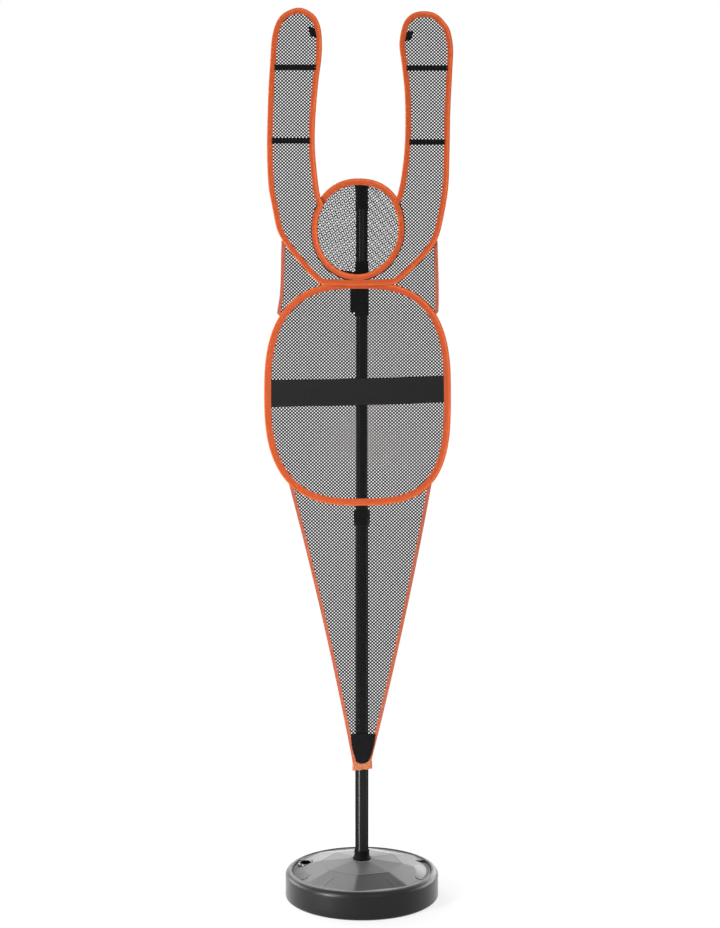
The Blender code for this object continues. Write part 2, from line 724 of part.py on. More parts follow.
def build_gussets(parts, guides):
    cloth = make_material("gusset_mesh", (0.02, 0.02, 0.022), 0.85)
    tape = make_material("gusset_tape", (0.55, 0.12, 0.06), 0.8)
    for name, side in (("left", -1), ("right", 1)):
        edge = gusset_edge(name, side)
        path = [(x - side * SIDE_TAPE / 2, z) for x, z in edge]
        binding = "shoulder_binding_" + name
        swept(binding, path, False, RING_PLANE, flat_profile(SIDE_TAPE), tape, parts, guides)

        inset = SIDE_TAPE + 2 * GAP
        upper = [(FIGURE_X + side * x, ARMS_Z + z) for x, z in GUSSET_TOP]
        down = [(x - side * inset, z) for x, z in edge]
        down[0] = (down[0][0], upper[0][1] + 0.004)
        span = (upper[-1][0], down[-1][0])
        lower = []
        for index in range(9):
            x = span[0] + (span[1] - span[0]) * index / 8
            lower.append((x, torso_edge_z(x, 1, NET_CLEARANCE)))
        outline = upper + lower + down[1::-1]
        upright_plate("shoulder_mesh_" + name, outline, CLOTH, RING_PLANE, cloth, parts)


def skirt_edge(side):
    """Free side edge of the skirt, from the torso hoop down to the hem."""
    top = TORSO_Z - SKIRT_TOP_DROP
    bottom = HEM_BOTTOM + HEM_HEIGHT + GAP
    start = torso_edge_x(top, side, NET_CLEARANCE)
    edge = []
    for index in range(SKIRT_SPANS + 1):
        t = index / SKIRT_SPANS
        x = start + (side * HEM_HALF_WIDTH - start) * t + SKIRT_BOW * 4 * t * (1 - t)
        edge.append((x, top + (bottom - top) * t))
    return edge


def build_skirt(parts, guides):
    cloth = make_material("skirt_mesh", (0.02, 0.02, 0.022), 0.85)
    tape = make_material("skirt_tape", (0.55, 0.12, 0.06), 0.8)
    half = SIDE_TAPE / 2
    inset = SIDE_TAPE + 2 * GAP
    rows = {}
    for name, side in (("left", -1), ("right", 1)):
        edge = skirt_edge(side)
        rows[name] = [(x - side * inset, z) for x, z in edge[1:]]
        path = [(x - side * half, z) for x, z in edge]
        path[0] = (path[0][0], torso_edge_z(edge[0][0] - side * SIDE_TAPE, -1, NET_CLEARANCE) - half / 2)
        path[-1] = (path[-1][0], path[-1][1] + half / 4)
        binding = "skirt_binding_" + name
        swept(binding, path, False, RING_PLANE, flat_profile(SIDE_TAPE), tape, parts, guides)

    start_left = skirt_edge(-1)[0][0] + inset
    start_right = skirt_edge(1)[0][0] - inset
    top = []
    for index in range(21):
        x = start_right + (start_left - start_right) * index / 20
        top.append((x, torso_edge_z(x, -1, NET_CLEARANCE)))
    outline = rows["left"] + rows["right"][::-1] + top
    upright_plate("skirt_mesh", outline, CLOTH, RING_PLANE, cloth, parts)


def loop_outline(radius, half_width, front, corner):
    """Band round the pole with a flat front, seen from above."""
    points = arc_points((0, 0), radius, 0, math.pi, 12)
    if half_width > radius + GAP:
        points = points[:-1] + [(-radius, 0.0)]
    points += arc_points((-half_width + corner, front + corner), corner, math.pi, 1.5 * math.pi, 3)
    points += arc_points((half_width - corner, front + corner), corner, 1.5 * math.pi, math.tau, 3)
    return points


def strap_loop(name, bottom, top, inner_radius, half_width, thickness, front, material, parts, tail=0.0):
    outer = loop_outline(inner_radius + thickness, half_width, front, 0.003)
    inner = loop_outline(inner_radius, half_width - thickness, front + thickness, 0.0015)
    if tail:
        corner = min(range(len(outer)), key=lambda index: outer[index][0] + outer[index][1])
        tip = -half_width - tail
        start = [point for point in outer[:corner] if point[1] > front + 0.004]
        rest = [point for point in outer[corner:] if point[1] < front + 0.0005]
        outer = start + [(-half_width, front + thickness), (tip, front + thickness), (tip, front)] + rest
    height = top - bottom
    place = Matrix.Translation((0, 0, bottom + height / 2))
    return plate(name, [outer, inner], height, place, material, parts)


def build_straps(parts):
    webbing = make_material("black_webbing", (0.015, 0.015, 0.016), 0.7)
    radius = UPPER_TUBE_RADIUS + GAP
    half = radius + STRAP
    front = STRAP_PLANE
    top = HEAD_STRAP_BOTTOM + HEAD_STRAP_HEIGHT
    strap_loop("head_strap", HEAD_STRAP_BOTTOM, top, radius, half, STRAP, front, webbing, parts)
    bottom = TORSO_STRAP_TOP - TORSO_STRAP_HEIGHT
    top = TORSO_STRAP_TOP
    strap_loop("torso_top_strap", bottom, top, radius, half, STRAP, front, webbing, parts, STRAP_TAIL)
    orange = make_material("hem_tape", (0.80, 0.14, 0.05), 0.75)
    radius = LOWER_TUBE_RADIUS + HEM_CLEARANCE
    top = HEM_BOTTOM + HEM_HEIGHT
    front = RING_PLANE + 0.0004
    strap_loop("hem_loop", HEM_BOTTOM, top, radius, HEM_HALF_WIDTH, HEM_THICKNESS, front, orange, parts)


def pocket_rings():
    """Outer rings of the pole pocket, (z, half width, half depth, middle y)."""
    wall = UPPER_TUBE_RADIUS + 2 * GAP + 0.0006
    ceiling = UPPER_TUBE_TOP + TOP_CAP_HEIGHT + 0.0005
    front = STRAP_PLANE + 0.0013
    return (
        (UPPER_TUBE_TOP - POCKET_HEIGHT, wall, wall, 0.0),
        (ceiling - 0.008, wall, wall, 0.0),
        (ceiling, wall + 0.0008, wall, 0.0),
        (ceiling + 0.003, wall + 0.0020, wall - 0.0060, -0.007),
        (ceiling + 0.0045, wall + 0.0028, 0.0012, front),
    )


def build_head_pocket(parts):
    """Sleeve that drops over the pole, closed above into a flat sewn tongue."""
    fabric = make_material("pocket_fabric", (0.012, 0.012, 0.013), 0.8)
    steps = 24
    inner_radius = UPPER_TUBE_RADIUS + 2 * GAP
    work = bmesh.new()
    rings = []
    bottom = UPPER_TUBE_TOP - POCKET_HEIGHT
    ceiling = UPPER_TUBE_TOP + TOP_CAP_HEIGHT + GAP
    sections = [(ceiling, inner_radius, inner_radius, 0.0), (bottom, inner_radius, inner_radius, 0.0)]
    for z, half_width, half_depth, middle in sections + list(pocket_rings()):
        ring = []
        for index in range(steps):
            angle = math.tau * index / steps
            ring.append(work.verts.new((half_width * math.cos(angle), middle + half_depth * math.sin(angle), z)))
        rings.append(ring)
    for below, above in zip(rings, rings[1:]):
        for index in range(steps):
            after = (index + 1) % steps
            work.faces.new((below[index], below[after], above[after], above[index]))
    work.faces.new(rings[0])
    work.faces.new(rings[-1])
    bmesh.ops.recalc_face_normals(work, faces=work.faces)
    mesh = bpy.data.meshes.new("head_pocket")
    work.to_mesh(mesh)
    work.free()
    add_mesh("head_pocket", mesh, fabric, parts)


def build_head_back(parts):
    """Rear layer of the head: tented from the hoop round the back of the pole."""
    cloth = make_material("head_back_mesh", (0.02, 0.02, 0.022), 0.85)
    edge_inset = 0.0025
    edge_y = STRAP_PLANE + 0.0004
    ridge_y = UPPER_TUBE_RADIUS + 0.0032
    ridge_half = 0.008
    ridge_bottom = HEAD_STRAP_BOTTOM + 0.0155
    ridge_top = UPPER_TUBE_TOP + 0.011
    half_width = HEAD_HALF_WIDTH - edge_inset
    half_height = HEAD_HALF_HEIGHT - edge_inset
    first = math.radians(-58)
    turn = math.radians(72)
    side_spans = 11
    top_spans = 6

    angles = [first + (turn - first) * index / side_spans for index in range(side_spans + 1)]
    angles += [turn + (math.pi - 2 * turn) * index / top_spans for index in range(1, top_spans)]
    angles += [math.pi - angle for angle in reversed(angles[: side_spans + 1])]
    low = superellipse_point(half_width, half_height, HEAD_EXPONENTS, first)[1]
    high = superellipse_point(half_width, half_height, HEAD_EXPONENTS, turn)[1]
    outer = []
    inner = []
    for angle in angles:
        x, z = superellipse_point(half_width, half_height, HEAD_EXPONENTS, angle)
        outer.append((FIGURE_X + x, edge_y, HEAD_Z + z))
        share = min(1.0, max(0.0, (z - low) / (high - low)))
        across = max(-1.0, min(1.0, (math.pi / 2 - angle) / (math.pi / 2 - turn)))
        inner.append((ridge_half * across, ridge_y, ridge_bottom + (ridge_top - ridge_bottom) * share))

    work = bmesh.new()
    outer_verts = [work.verts.new(place) for place in outer]
    inner_verts = [work.verts.new(place) for place in inner]
    count = len(angles)
    for index in range(count - 1):
        work.faces.new((outer_verts[index], outer_verts[index + 1], inner_verts[index + 1], inner_verts[index]))
    for index in range(side_spans):
        mirror = count - 1 - index
        work.faces.new((inner_verts[index], inner_verts[index + 1], inner_verts[mirror - 1], inner_verts[mirror]))
    crown = [inner_verts[index] for index in range(side_spans, side_spans + top_spans + 1)]
    work.faces.new(crown)
    bmesh.ops.remove_doubles(work, verts=work.verts, dist=MERGE)
    bmesh.ops.recalc_face_normals(work, faces=work.faces)
    mesh = bpy.data.meshes.new("head_mesh_back")
    work.to_mesh(mesh)
    work.free()
    hood = add_mesh("head_mesh_back", mesh, cloth, parts)
    shell = hood.modifiers.new("thickness", "SOLIDIFY")
    shell.thickness = CLOTH
    shell.offset = 0.0


def arm_edges(outline, z, arm):
    """The inner edges of one arm's binding at a height, left and right."""
    crossings = []
    for (x0, z0), (x1, z1) in zip(outline, outline[1:] + outline[:1]):
        if (z0 - z) * (z1 - z) < 0:
            crossings.append(x0 + (x1 - x0) * (z - z0) / (z1 - z0))
    crossings.sort()
    left, right = crossings[:2] if arm == "left" else crossings[-2:]
    margin = ARMS_BINDING + ARM_BAND_MARGIN
    return left + margin, right - margin


def build_patches(parts):
    print_cloth = make_material("chest_band", (0.028, 0.028, 0.03), 0.8)
    webbing = make_material("arm_webbing", (0.014, 0.014, 0.015), 0.7)
    patch_cloth = make_material("foot_patch", (0.012, 0.012, 0.013), 0.75)
    step = CLOTH / 2 + GAP + PATCH / 2

    reach = TORSO_HALF_WIDTH - TORSO_BINDING - 0.002
    half = CHEST_BAND_HEIGHT / 2
    tilt = CHEST_BAND_RISE / 2
    middle = TORSO_Z + CHEST_BAND_LIFT
    outline = [
        (TORSO_X - reach, middle - tilt - half),
        (TORSO_X + reach, middle + tilt - half),
        (TORSO_X + reach, middle + tilt + half),
        (TORSO_X - reach, middle - tilt + half),
    ]
    upright_plate("chest_band", outline, PATCH, RING_PLANE - step, print_cloth, parts)

    arms = arms_outline()
    for name, (arm, middle) in ARM_BANDS.items():
        top = ARMS_Z + middle + ARM_BAND_HEIGHT / 2
        bottom = ARMS_Z + middle - ARM_BAND_HEIGHT / 2
        top_left, top_right = arm_edges(arms, top, arm)
        bottom_left, bottom_right = arm_edges(arms, bottom, arm)
        outline = [(bottom_left, bottom), (bottom_right, bottom), (top_right, top), (top_left, top)]
        upright_plate(name, outline, PATCH, ARMS_PLANE - step, webbing, parts)

    for name, (arm, middle) in HAND_TABS.items():
        side = 1 if arm == "left" else 0
        inward = -HAND_TAB_WIDTH if arm == "left" else HAND_TAB_WIDTH
        top = ARMS_Z + middle + HAND_TAB_HEIGHT / 2
        bottom = ARMS_Z + middle - HAND_TAB_HEIGHT / 2
        top_edge = arm_edges(arms, top, arm)[side]
        bottom_edge = arm_edges(arms, bottom, arm)[side]
        outline = [
            (bottom_edge, bottom),
            (top_edge, top),
            (top_edge + inward, top),
            (bottom_edge + inward, bottom),
        ]
        if arm == "right":
            outline.reverse()
        upright_plate(name, outline, PATCH, ARMS_PLANE - step, webbing, parts)

    foot_plane = RING_PLANE - SIDE_TAPE_DEPTH / 2 - GAP - PATCH / 2
    outline = [(x, HEM_BOTTOM + z) for x, z in FOOT_PATCH]
    upright_plate("foot_patch", outline, PATCH, foot_plane, patch_cloth, parts)


def main():
    clear_scene()
    parts = make_collection("defensive_mannequin")
    cutters = make_collection("cutters")
    build_base(parts, cutters)
    build_socket(parts)
    build_fill_cap(parts)
    build_pole(parts)
    build_hoops(parts, cutters)
    build_gussets(parts, cutters)
    build_skirt(parts, cutters)
    build_straps(parts)
    build_head_pocket(parts)
    build_head_back(parts)
    build_patches(parts)
    bpy.context.view_layer.update()


main()
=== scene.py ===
"""Looks of a basketball defensive mannequin: a net figure on a telescoping pole and base.

Metres, +Z up. The pole stands on the Z axis and the figure faces -Y.
"""

import math

import bmesh
import bpy
from bpy.props import FloatProperty, FloatVectorProperty, IntProperty, PointerProperty
from mathutils import Matrix, Vector


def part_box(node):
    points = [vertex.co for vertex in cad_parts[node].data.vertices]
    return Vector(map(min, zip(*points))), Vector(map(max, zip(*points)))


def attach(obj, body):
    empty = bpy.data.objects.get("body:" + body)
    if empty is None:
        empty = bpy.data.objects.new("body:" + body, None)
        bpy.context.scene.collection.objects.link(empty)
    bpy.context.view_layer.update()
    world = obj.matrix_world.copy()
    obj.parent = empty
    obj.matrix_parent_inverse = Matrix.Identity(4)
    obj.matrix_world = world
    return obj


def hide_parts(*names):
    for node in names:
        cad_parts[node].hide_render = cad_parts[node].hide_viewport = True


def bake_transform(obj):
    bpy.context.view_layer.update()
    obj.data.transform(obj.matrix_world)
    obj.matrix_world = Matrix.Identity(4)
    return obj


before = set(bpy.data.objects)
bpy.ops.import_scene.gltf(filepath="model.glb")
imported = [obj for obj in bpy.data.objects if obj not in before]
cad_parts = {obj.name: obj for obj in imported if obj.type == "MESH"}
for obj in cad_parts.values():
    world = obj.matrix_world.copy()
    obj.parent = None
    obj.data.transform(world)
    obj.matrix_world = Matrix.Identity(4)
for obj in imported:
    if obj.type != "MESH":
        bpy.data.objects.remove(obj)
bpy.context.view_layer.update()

bl_info = {
    "name": "Defensive Mannequin",
    "version": (1, 0, 0),
    "blender": (4, 5, 0),
    "location": "3D View > Sidebar > Mannequin",
    "description": "Builds the nets, bindings, pole and base of a practice mannequin",
    "category": "Add Mesh",
}

WELD = 0.00002
SHARP = math.radians(35)
CLOTH_SHARP = math.radians(60)
TANK_SHARP = math.radians(40)
LINE_STEP = 0.006
FINE_STEP = 0.005
STEP = 0.001  # reach over which a slope or a normal is taken
PLAY = 0.0003

# Hoops: exponents of each quarter, and the arms' free edge from the middle of the neck
TORSO_EXPONENTS = (2.78, 2.65, 2.68, 3.1)
HEAD_EXPONENTS = (2.28, 2.1, 2.1, 1.9)
TORSO_BINDING = 0.017
HEAD_BINDING = 0.016
ARMS_BINDING = 0.014
SIDE_TAPE = 0.009
NET_INSET = 0.0095
ARMS_NET_INSET = 0.0085
NET_SPLIT = 0.006  # height above the torso's middle, behind the chest band
NET_OVERLAP = 0.0042  # how far a net's edge lies under the torso's binding
SKIRT_TOP = -0.217  # height of the skirt's corners, from the torso's middle
SKIRT_BOW = 0.0062
PATCH_THICKNESS = 0.0012
NECK_Z = 1.6012
NECK_START = math.radians(32)
ARMS_FOOT = ((-0.043, -0.1321), (0.0, -0.1331), (0.043, -0.1321))
RIGHT_ARM = (
    (0.085, -0.1296), (0.1104, -0.114), (0.132, -0.0936), (0.168, -0.0552), (0.192, -0.018),
    (0.2064, 0.0396), (0.2167, 0.1068), (0.2196, 0.1932), (0.2215, 0.2892), (0.2268, 0.3948),
    (0.228, 0.438), (0.2208, 0.4788), (0.2064, 0.5016), (0.1872, 0.5191), (0.1603, 0.5256),
    (0.132, 0.5206), (0.1116, 0.5016), (0.102, 0.4716), (0.0991, 0.4404), (0.1044, 0.3996),
    (0.1111, 0.3372), (0.1133, 0.270), (0.1111, 0.1932), (0.1032, 0.126), (0.0936, 0.0828),
)
LEFT_ARM = (
    (-0.0912, 0.0852), (-0.0972, 0.126), (-0.1032, 0.1932), (-0.1027, 0.2604), (-0.096, 0.3468),
    (-0.0881, 0.4092), (-0.0864, 0.4476), (-0.0905, 0.4884), (-0.1068, 0.5184), (-0.1409, 0.534),
    (-0.1764, 0.522), (-0.1956, 0.4992), (-0.2064, 0.462), (-0.2105, 0.4092), (-0.2155, 0.3252),
    (-0.2184, 0.2052), (-0.2153, 0.1116), (-0.2064, 0.0588), (-0.1956, 0.006), (-0.1824, -0.0228),
    (-0.1584, -0.0564), (-0.1286, -0.0914), (-0.1068, -0.1152), (-0.085, -0.1296),
)
FOOT_PATCH = (  # x, and height above the hem's lower edge
    (-0.0265, 0.088), (-0.0255, 0.072), (-0.024, 0.057), (-0.0178, 0.035), (-0.0125, 0.0215),
    (0.0005, 0.0165), (0.0135, 0.0215), (0.0215, 0.035), (0.0280, 0.057), (0.0310, 0.072), (0.0325, 0.088),
)

# Pole
TUBE_WALL = 0.0012
GRIP_RISE = 0.0009

# Tank: crown as (distance along a ridge, height), with a lip at the middle one
CROWN = ((0.030, 0.086), (0.100, 0.078), (0.168, 0.062))
CROWN_TURN = math.radians(-6)
CROWN_STEP = 0.0011
LIP_SPREAD = 0.0018
WELL_Z = 0.080
SEAT_Z = 0.0574

# The crown's two sunk sides, with a groove along their outer edge and one at each end
POCKET_ENDS = ((math.radians(-30), math.radians(22)), (math.radians(158), math.radians(210)))
POCKET_RADIUS = 0.156
POCKET_SLOPE = 0.428
POCKET_Z = 0.059
POCKET_EDGE = 0.0006
POCKET_GROOVE = 0.0020
GROOVE_INSET = 0.0012
GROOVE_SPREAD = 0.0011
END_GROOVE = 0.0024
END_GROOVE_INSET = 0.0024
END_GROOVE_START = 0.146
END_WIDTHS = (0.0, 0.003, 0.009, 0.015, 0.021, 0.028)

# The crown's two ribs
RIBS = (math.radians(-125), math.radians(-60))
RIB_REACH = (0.118, 0.160)
RIB_SPREAD = 0.0012
RIB_WIDTHS = (0.0, 0.009, 0.018)


# Settings


class NetSettings(bpy.types.PropertyGroup):
    pitch_x: FloatProperty(
        name="Pitch across", description="Distance between pores in a row",
        default=0.0083, min=0.004, max=0.03, unit="LENGTH")
    pitch_z: FloatProperty(
        name="Pitch up", description="Distance between rows that line up",
        default=0.0077, min=0.004, max=0.03, unit="LENGTH")
    pore: FloatProperty(
        name="Pore radius", description="Radius of each round pore",
        default=0.00176, min=0.0005, max=0.01, unit="LENGTH")
    head_pore: FloatProperty(
        name="Head pore radius", description="Radius of the pores in front of the head",
        default=0.0024, min=0.0005, max=0.01, unit="LENGTH")
    hood_pore: FloatProperty(
        name="Hood pore radius", description="Radius of the pores in the net behind the head",
        default=0.00265, min=0.0005, max=0.01, unit="LENGTH")
    arm_pore: FloatProperty(
        name="Arm pore radius", description="Radius of the pores in the arms",
        default=0.00184, min=0.0005, max=0.01, unit="LENGTH")
    hood_turn: FloatProperty(
        name="Hood turn", description="Turn of the rear net's rows against the front net's",
        default=math.radians(28), min=-0.8, max=0.8, subtype="ANGLE")
    thickness: FloatProperty(
        name="Thickness", description="Thickness of the knitted net",
        default=0.0006, min=0.0002, max=0.003, unit="LENGTH")
    colour: FloatVectorProperty(
        name="Net colour", description="Colour of the net's yarn",
        default=(0.006, 0.006, 0.0066), min=0, max=1, subtype="COLOR")


class TapeSettings(bpy.types.PropertyGroup):
    colour: FloatVectorProperty(
        name="Binding colour", description="Colour of the hoops' bindings",
        default=(0.595, 0.096, 0.0135), min=0, max=1, subtype="COLOR")
    side_colour: FloatVectorProperty(
        name="Side tape colour", description="Colour of the narrow tapes on the free edges",
        default=(0.40, 0.085, 0.035), min=0, max=1, subtype="COLOR")
    hem_colour: FloatVectorProperty(
        name="Hem colour", description="Colour of the gathered hem round the pole",
        default=(0.40, 0.120, 0.044), min=0, max=1, subtype="COLOR")
    thread_colour: FloatVectorProperty(
        name="Thread colour", description="Colour of the sewing thread on the bindings",
        default=(0.42, 0.045, 0.010), min=0, max=1, subtype="COLOR")
    stitch: FloatProperty(
        name="Stitch step", description="Distance from one stitch to the next",
        default=0.0042, min=0.002, max=0.02, unit="LENGTH")
    stitch_inset: FloatProperty(
        name="Stitch inset", description="Distance of the stitches from the tape's inner edge",
        default=0.0036, min=0.001, max=0.01, unit="LENGTH")


class FabricSettings(bpy.types.PropertyGroup):
    webbing_colour: FloatVectorProperty(
        name="Webbing colour", description="Colour of the straps and bands",
        default=(0.004, 0.004, 0.0046), min=0, max=1, subtype="COLOR")
    band_colour: FloatVectorProperty(
        name="Chest band colour", description="Colour of the bare band across the chest",
        default=(0.008, 0.008, 0.009), min=0, max=1, subtype="COLOR")
    band_sag: FloatProperty(
        name="Chest band sag", description="How far the middle of the band hangs below its ends",
        default=0.0016, min=0, max=0.02, unit="LENGTH")


class BaseSettings(bpy.types.PropertyGroup):
    colour: FloatVectorProperty(
        name="Base colour", description="Colour of the moulded tank",
        default=(0.004, 0.004, 0.0044), min=0, max=1, subtype="COLOR")
    ridge_softness: FloatProperty(
        name="Ridge softness", description="Rounding of the crown's eight ridges",
        default=0.0010, min=0.0002, max=0.02, unit="LENGTH")
    rib_height: FloatProperty(
        name="Rib height", description="Height of the two faint ribs at the front",
        default=0.0004, min=0, max=0.003, unit="LENGTH")
    lip_height: FloatProperty(
        name="Lip height", description="Height of the faint lip where the crown's slope changes",
        default=0.0003, min=0, max=0.003, unit="LENGTH")
    steps: IntProperty(
        name="Steps", description="Faces in one eighth of the tank's turn",
        default=24, min=8, max=64)


class PoleSettings(bpy.types.PropertyGroup):
    colour: FloatVectorProperty(
        name="Paint colour", description="Colour of the tubes' paint",
        default=(0.024, 0.024, 0.025), min=0, max=1, subtype="COLOR")
    roughness: FloatProperty(
        name="Paint roughness", description="Roughness of the tubes' paint",
        default=0.31, min=0, max=1, subtype="FACTOR")
    grips: IntProperty(
        name="Lock ribs", description="Number of grip ribs round the lock",
        default=28, min=8, max=60)


class StageSettings(bpy.types.PropertyGroup):
    floor_colour: FloatVectorProperty(
        name="Floor colour", description="Colour of the plain floor",
        default=(0.86, 0.86, 0.86), min=0, max=1, subtype="COLOR")
    sky: FloatProperty(
        name="Room light", description="Strength of the even light all round",
        default=0.45, min=0, max=2)
    key: FloatProperty(
        name="Key lamp", description="Power of the tall soft lamp in front at the left",
        default=64, min=0, max=1000, unit="POWER")
    rear: FloatProperty(
        name="Rear lamps", description="Power of the left one of the two wide soft lamps behind",
        default=53, min=0, max=1000, unit="POWER")
    side: FloatProperty(
        name="Side lamps", description="Power of the two low soft lamps beside the base",
        default=40, min=0, max=1000, unit="POWER")


def settings(name):
    return getattr(bpy.context.scene, "mannequin_" + name)


# Nodes


def fill_inputs(tree, target, values):
    """Gives the named inputs of a node their values or links."""
    for key, value in values.items():
        if isinstance(value, bpy.types.NodeSocket):
            tree.links.new(value, target.inputs[key])
        else:
            target.inputs[key].default_value = value


def node(tree, kind, values=None, **options):
    """New node, with its options set and its inputs given a value or a link."""
    new = tree.nodes.new(kind)
    for key, value in options.items():
        setattr(new, key, value)
    fill_inputs(tree, new, values or {})
    return new


def maths(tree, operation, first, second=0.0, third=0.0):
    inputs = {0: first, 1: second, 2: third}
    return node(tree, "ShaderNodeMath", inputs, operation=operation).outputs[0]


def blank_material(name):
    """Material with a shader and nothing linked to it yet."""
    material = bpy.data.materials.new(name)
    material.use_nodes = True
    tree = material.node_tree
    return material, tree, tree.nodes["Principled BSDF"]


def object_place(tree):
    return node(tree, "ShaderNodeTexCoord").outputs["Object"]


def tinted(tree, factor, colour, dark, light):
    """Colour that runs from dark to light times the given one."""
    ramp = node(tree, "ShaderNodeValToRGB", {"Fac": factor})
    for element, share in zip(ramp.color_ramp.elements, (dark, light)):
        element.color = (*(min(1.0, c * share) for c in colour), 1.0)
    return ramp.outputs["Color"]


def ranged(tree, value, low, high, start=0.0, end=1.0):
    """Value that runs from low to high while the given one runs from start to end."""
    inputs = {"Value": value, "From Min": start, "From Max": end, "To Min": low, "To Max": high}
    return node(tree, "ShaderNodeMapRange", inputs).outputs["Result"]


def noise(tree, place, scale, detail=3.0, rough=0.55):
    inputs = {"Vector": place, "Scale": scale, "Detail": detail, "Roughness": rough}
    return node(tree, "ShaderNodeTexNoise", inputs).outputs["Fac"]


def stretched_noise(tree, place, stretch, scale):
    mapping = node(tree, "ShaderNodeMapping", {"Vector": place, "Scale": stretch})
    return noise(tree, mapping.outputs["Vector"], scale, 2.0)


def bumped(tree, shader, height, distance, normal=None):
    inputs = {"Height": height, "Distance": distance, "Strength": 1.0}
    if normal:
        inputs["Normal"] = normal
    result = node(tree, "ShaderNodeBump", inputs).outputs["Normal"]
    tree.links.new(result, shader.inputs["Normal"])
    return result


def moulded_plastic(name, colour, roughness, grain, depth, shine=0.2, bloom=0.0):
    """Plastic with a fine moulded grain, cloudy wear and a pale bloom at grazing angles."""
    material, tree, shader = blank_material(name)
    place = object_place(tree)
    cloud = noise(tree, place, 22.0, 5.0, 0.6)
    fine = noise(tree, place, grain, 2.0, 0.6)
    worn = ranged(tree, cloud, roughness - 0.05, roughness + 0.05)
    fill_inputs(tree, shader, {
        "Base Color": tinted(tree, cloud, colour, 0.78, 1.25),
        "Roughness": maths(tree, "ADD", worn, ranged(tree, fine, -0.05, 0.05)),
        "Specular IOR Level": shine, "Sheen Weight": bloom, "Sheen Roughness": 0.35,
    })
    bumped(tree, shader, fine, depth)
    return material


def painted_steel(name, colour, roughness):
    """Glossy metallic paint over tube, dark at grazing angles, its shine drawn out along the tube."""
    material, tree, shader = blank_material(name)
    place = object_place(tree)
    cloud = noise(tree, place, 35.0)
    streak = stretched_noise(tree, place, (1.0, 1.0, 0.03), 900.0)
    round_z = node(tree, "ShaderNodeTangent", direction_type="RADIAL", axis="Z").outputs["Tangent"]
    fill_inputs(tree, shader, {
        "Base Color": tinted(tree, cloud, colour, 0.9, 1.15), "Metallic": 1.0,
        "Roughness": ranged(tree, streak, roughness - 0.03, roughness + 0.06),
        "Specular Tint": (0.1, 0.1, 0.1, 1.0), "Tangent": round_z,
        "Anisotropic": 0.8, "Anisotropic Rotation": 0.25,
    })
    bumped(tree, shader, noise(tree, place, 420.0, 2.0), 0.00001)
    return material


def bare_steel(name):
    material, tree, shader = blank_material(name)
    drawn = noise(tree, object_place(tree), 600.0, 2.0)
    fill_inputs(tree, shader, {
        "Base Color": tinted(tree, drawn, (0.5, 0.5, 0.52), 0.8, 1.1),
        "Roughness": ranged(tree, drawn, 0.22, 0.4), "Metallic": 1.0,
    })
    bumped(tree, shader, drawn, 0.00003)
    return material


def woven(name, colour, warp, weft, depth, roughness, sheen, pucker=0.0, shine=0.5, legs=0.0):
    """Woven cloth on the piece's own lengthwise map; its flat legs get painted shade, darker by the share
    legs.
    """
    material, tree, shader = blank_material(name)
    lie = node(tree, "ShaderNodeUVMap", uv_map="cloth").outputs["UV"]
    split = node(tree, "ShaderNodeSeparateXYZ", {"Vector": lie}).outputs
    waves = [maths(tree, "SINE", maths(tree, "MULTIPLY", split[axis], math.tau / step))
             for axis, step in (("X", weft), ("Y", warp))]
    yarn = maths(tree, "MULTIPLY_ADD", maths(tree, "MULTIPLY", *waves), 0.5, 0.5)
    cloud = noise(tree, lie, 45.0, 4.0, 0.6)
    mixed = maths(tree, "MULTIPLY_ADD", yarn, 0.45, maths(tree, "MULTIPLY", cloud, 0.6))
    painted = tinted(tree, mixed, colour, 0.72, 1.22)
    if legs:
        # Painted shade: past the roll, the flat legs are darkened and reddened by the share legs
        inner = ranged(tree, split["Y"], 0.0, legs, 0.006, 0.010)
        shade = (*(c * share for c, share in zip(colour, (0.72, 0.60, 0.5))), 1.0)
        painted = node(tree, "ShaderNodeMix", {0: inner, 6: painted, 7: shade}, data_type="RGBA").outputs[2]
    fill_inputs(tree, shader, {
        "Base Color": painted, "Specular IOR Level": shine,
        "Roughness": ranged(tree, yarn, roughness + 0.06, roughness - 0.05),
        "Sheen Weight": sheen, "Sheen Roughness": 0.4,
        "Sheen Tint": (*(min(1.0, 2.2 * c + 0.1) for c in colour), 1.0),
    })
    normal = None
    if pucker:
        normal = bumped(tree, shader, stretched_noise(tree, lie, (1.0, 0.35, 1.0), 150.0), pucker)
    bumped(tree, shader, yarn, depth, normal)
    return material


def knitted(name, colour):
    """Dull knitted yarn that runs in short loops round the pores."""
    material, tree, shader = blank_material(name)
    place = object_place(tree)
    loops = node(tree, "ShaderNodeTexVoronoi", {"Vector": place, "Scale": 1500.0}).outputs["Distance"]
    fill_inputs(tree, shader, {
        "Base Color": tinted(tree, noise(tree, place, 60.0, 4.0), colour, 0.7, 1.5),
        "Roughness": ranged(tree, loops, 0.5, 0.75), "Specular IOR Level": 0.06,
    })
    bumped(tree, shader, loops, 0.0002)
    return material


def thread(name, colour):
    material, tree, shader = blank_material(name)
    twist = noise(tree, object_place(tree), 2600.0, 1.0)
    fill_inputs(tree, shader, {
        "Base Color": tinted(tree, twist, colour, 0.7, 1.2), "Roughness": ranged(tree, twist, 0.45, 0.65)})
    bumped(tree, shader, twist, 0.00008)
    return material


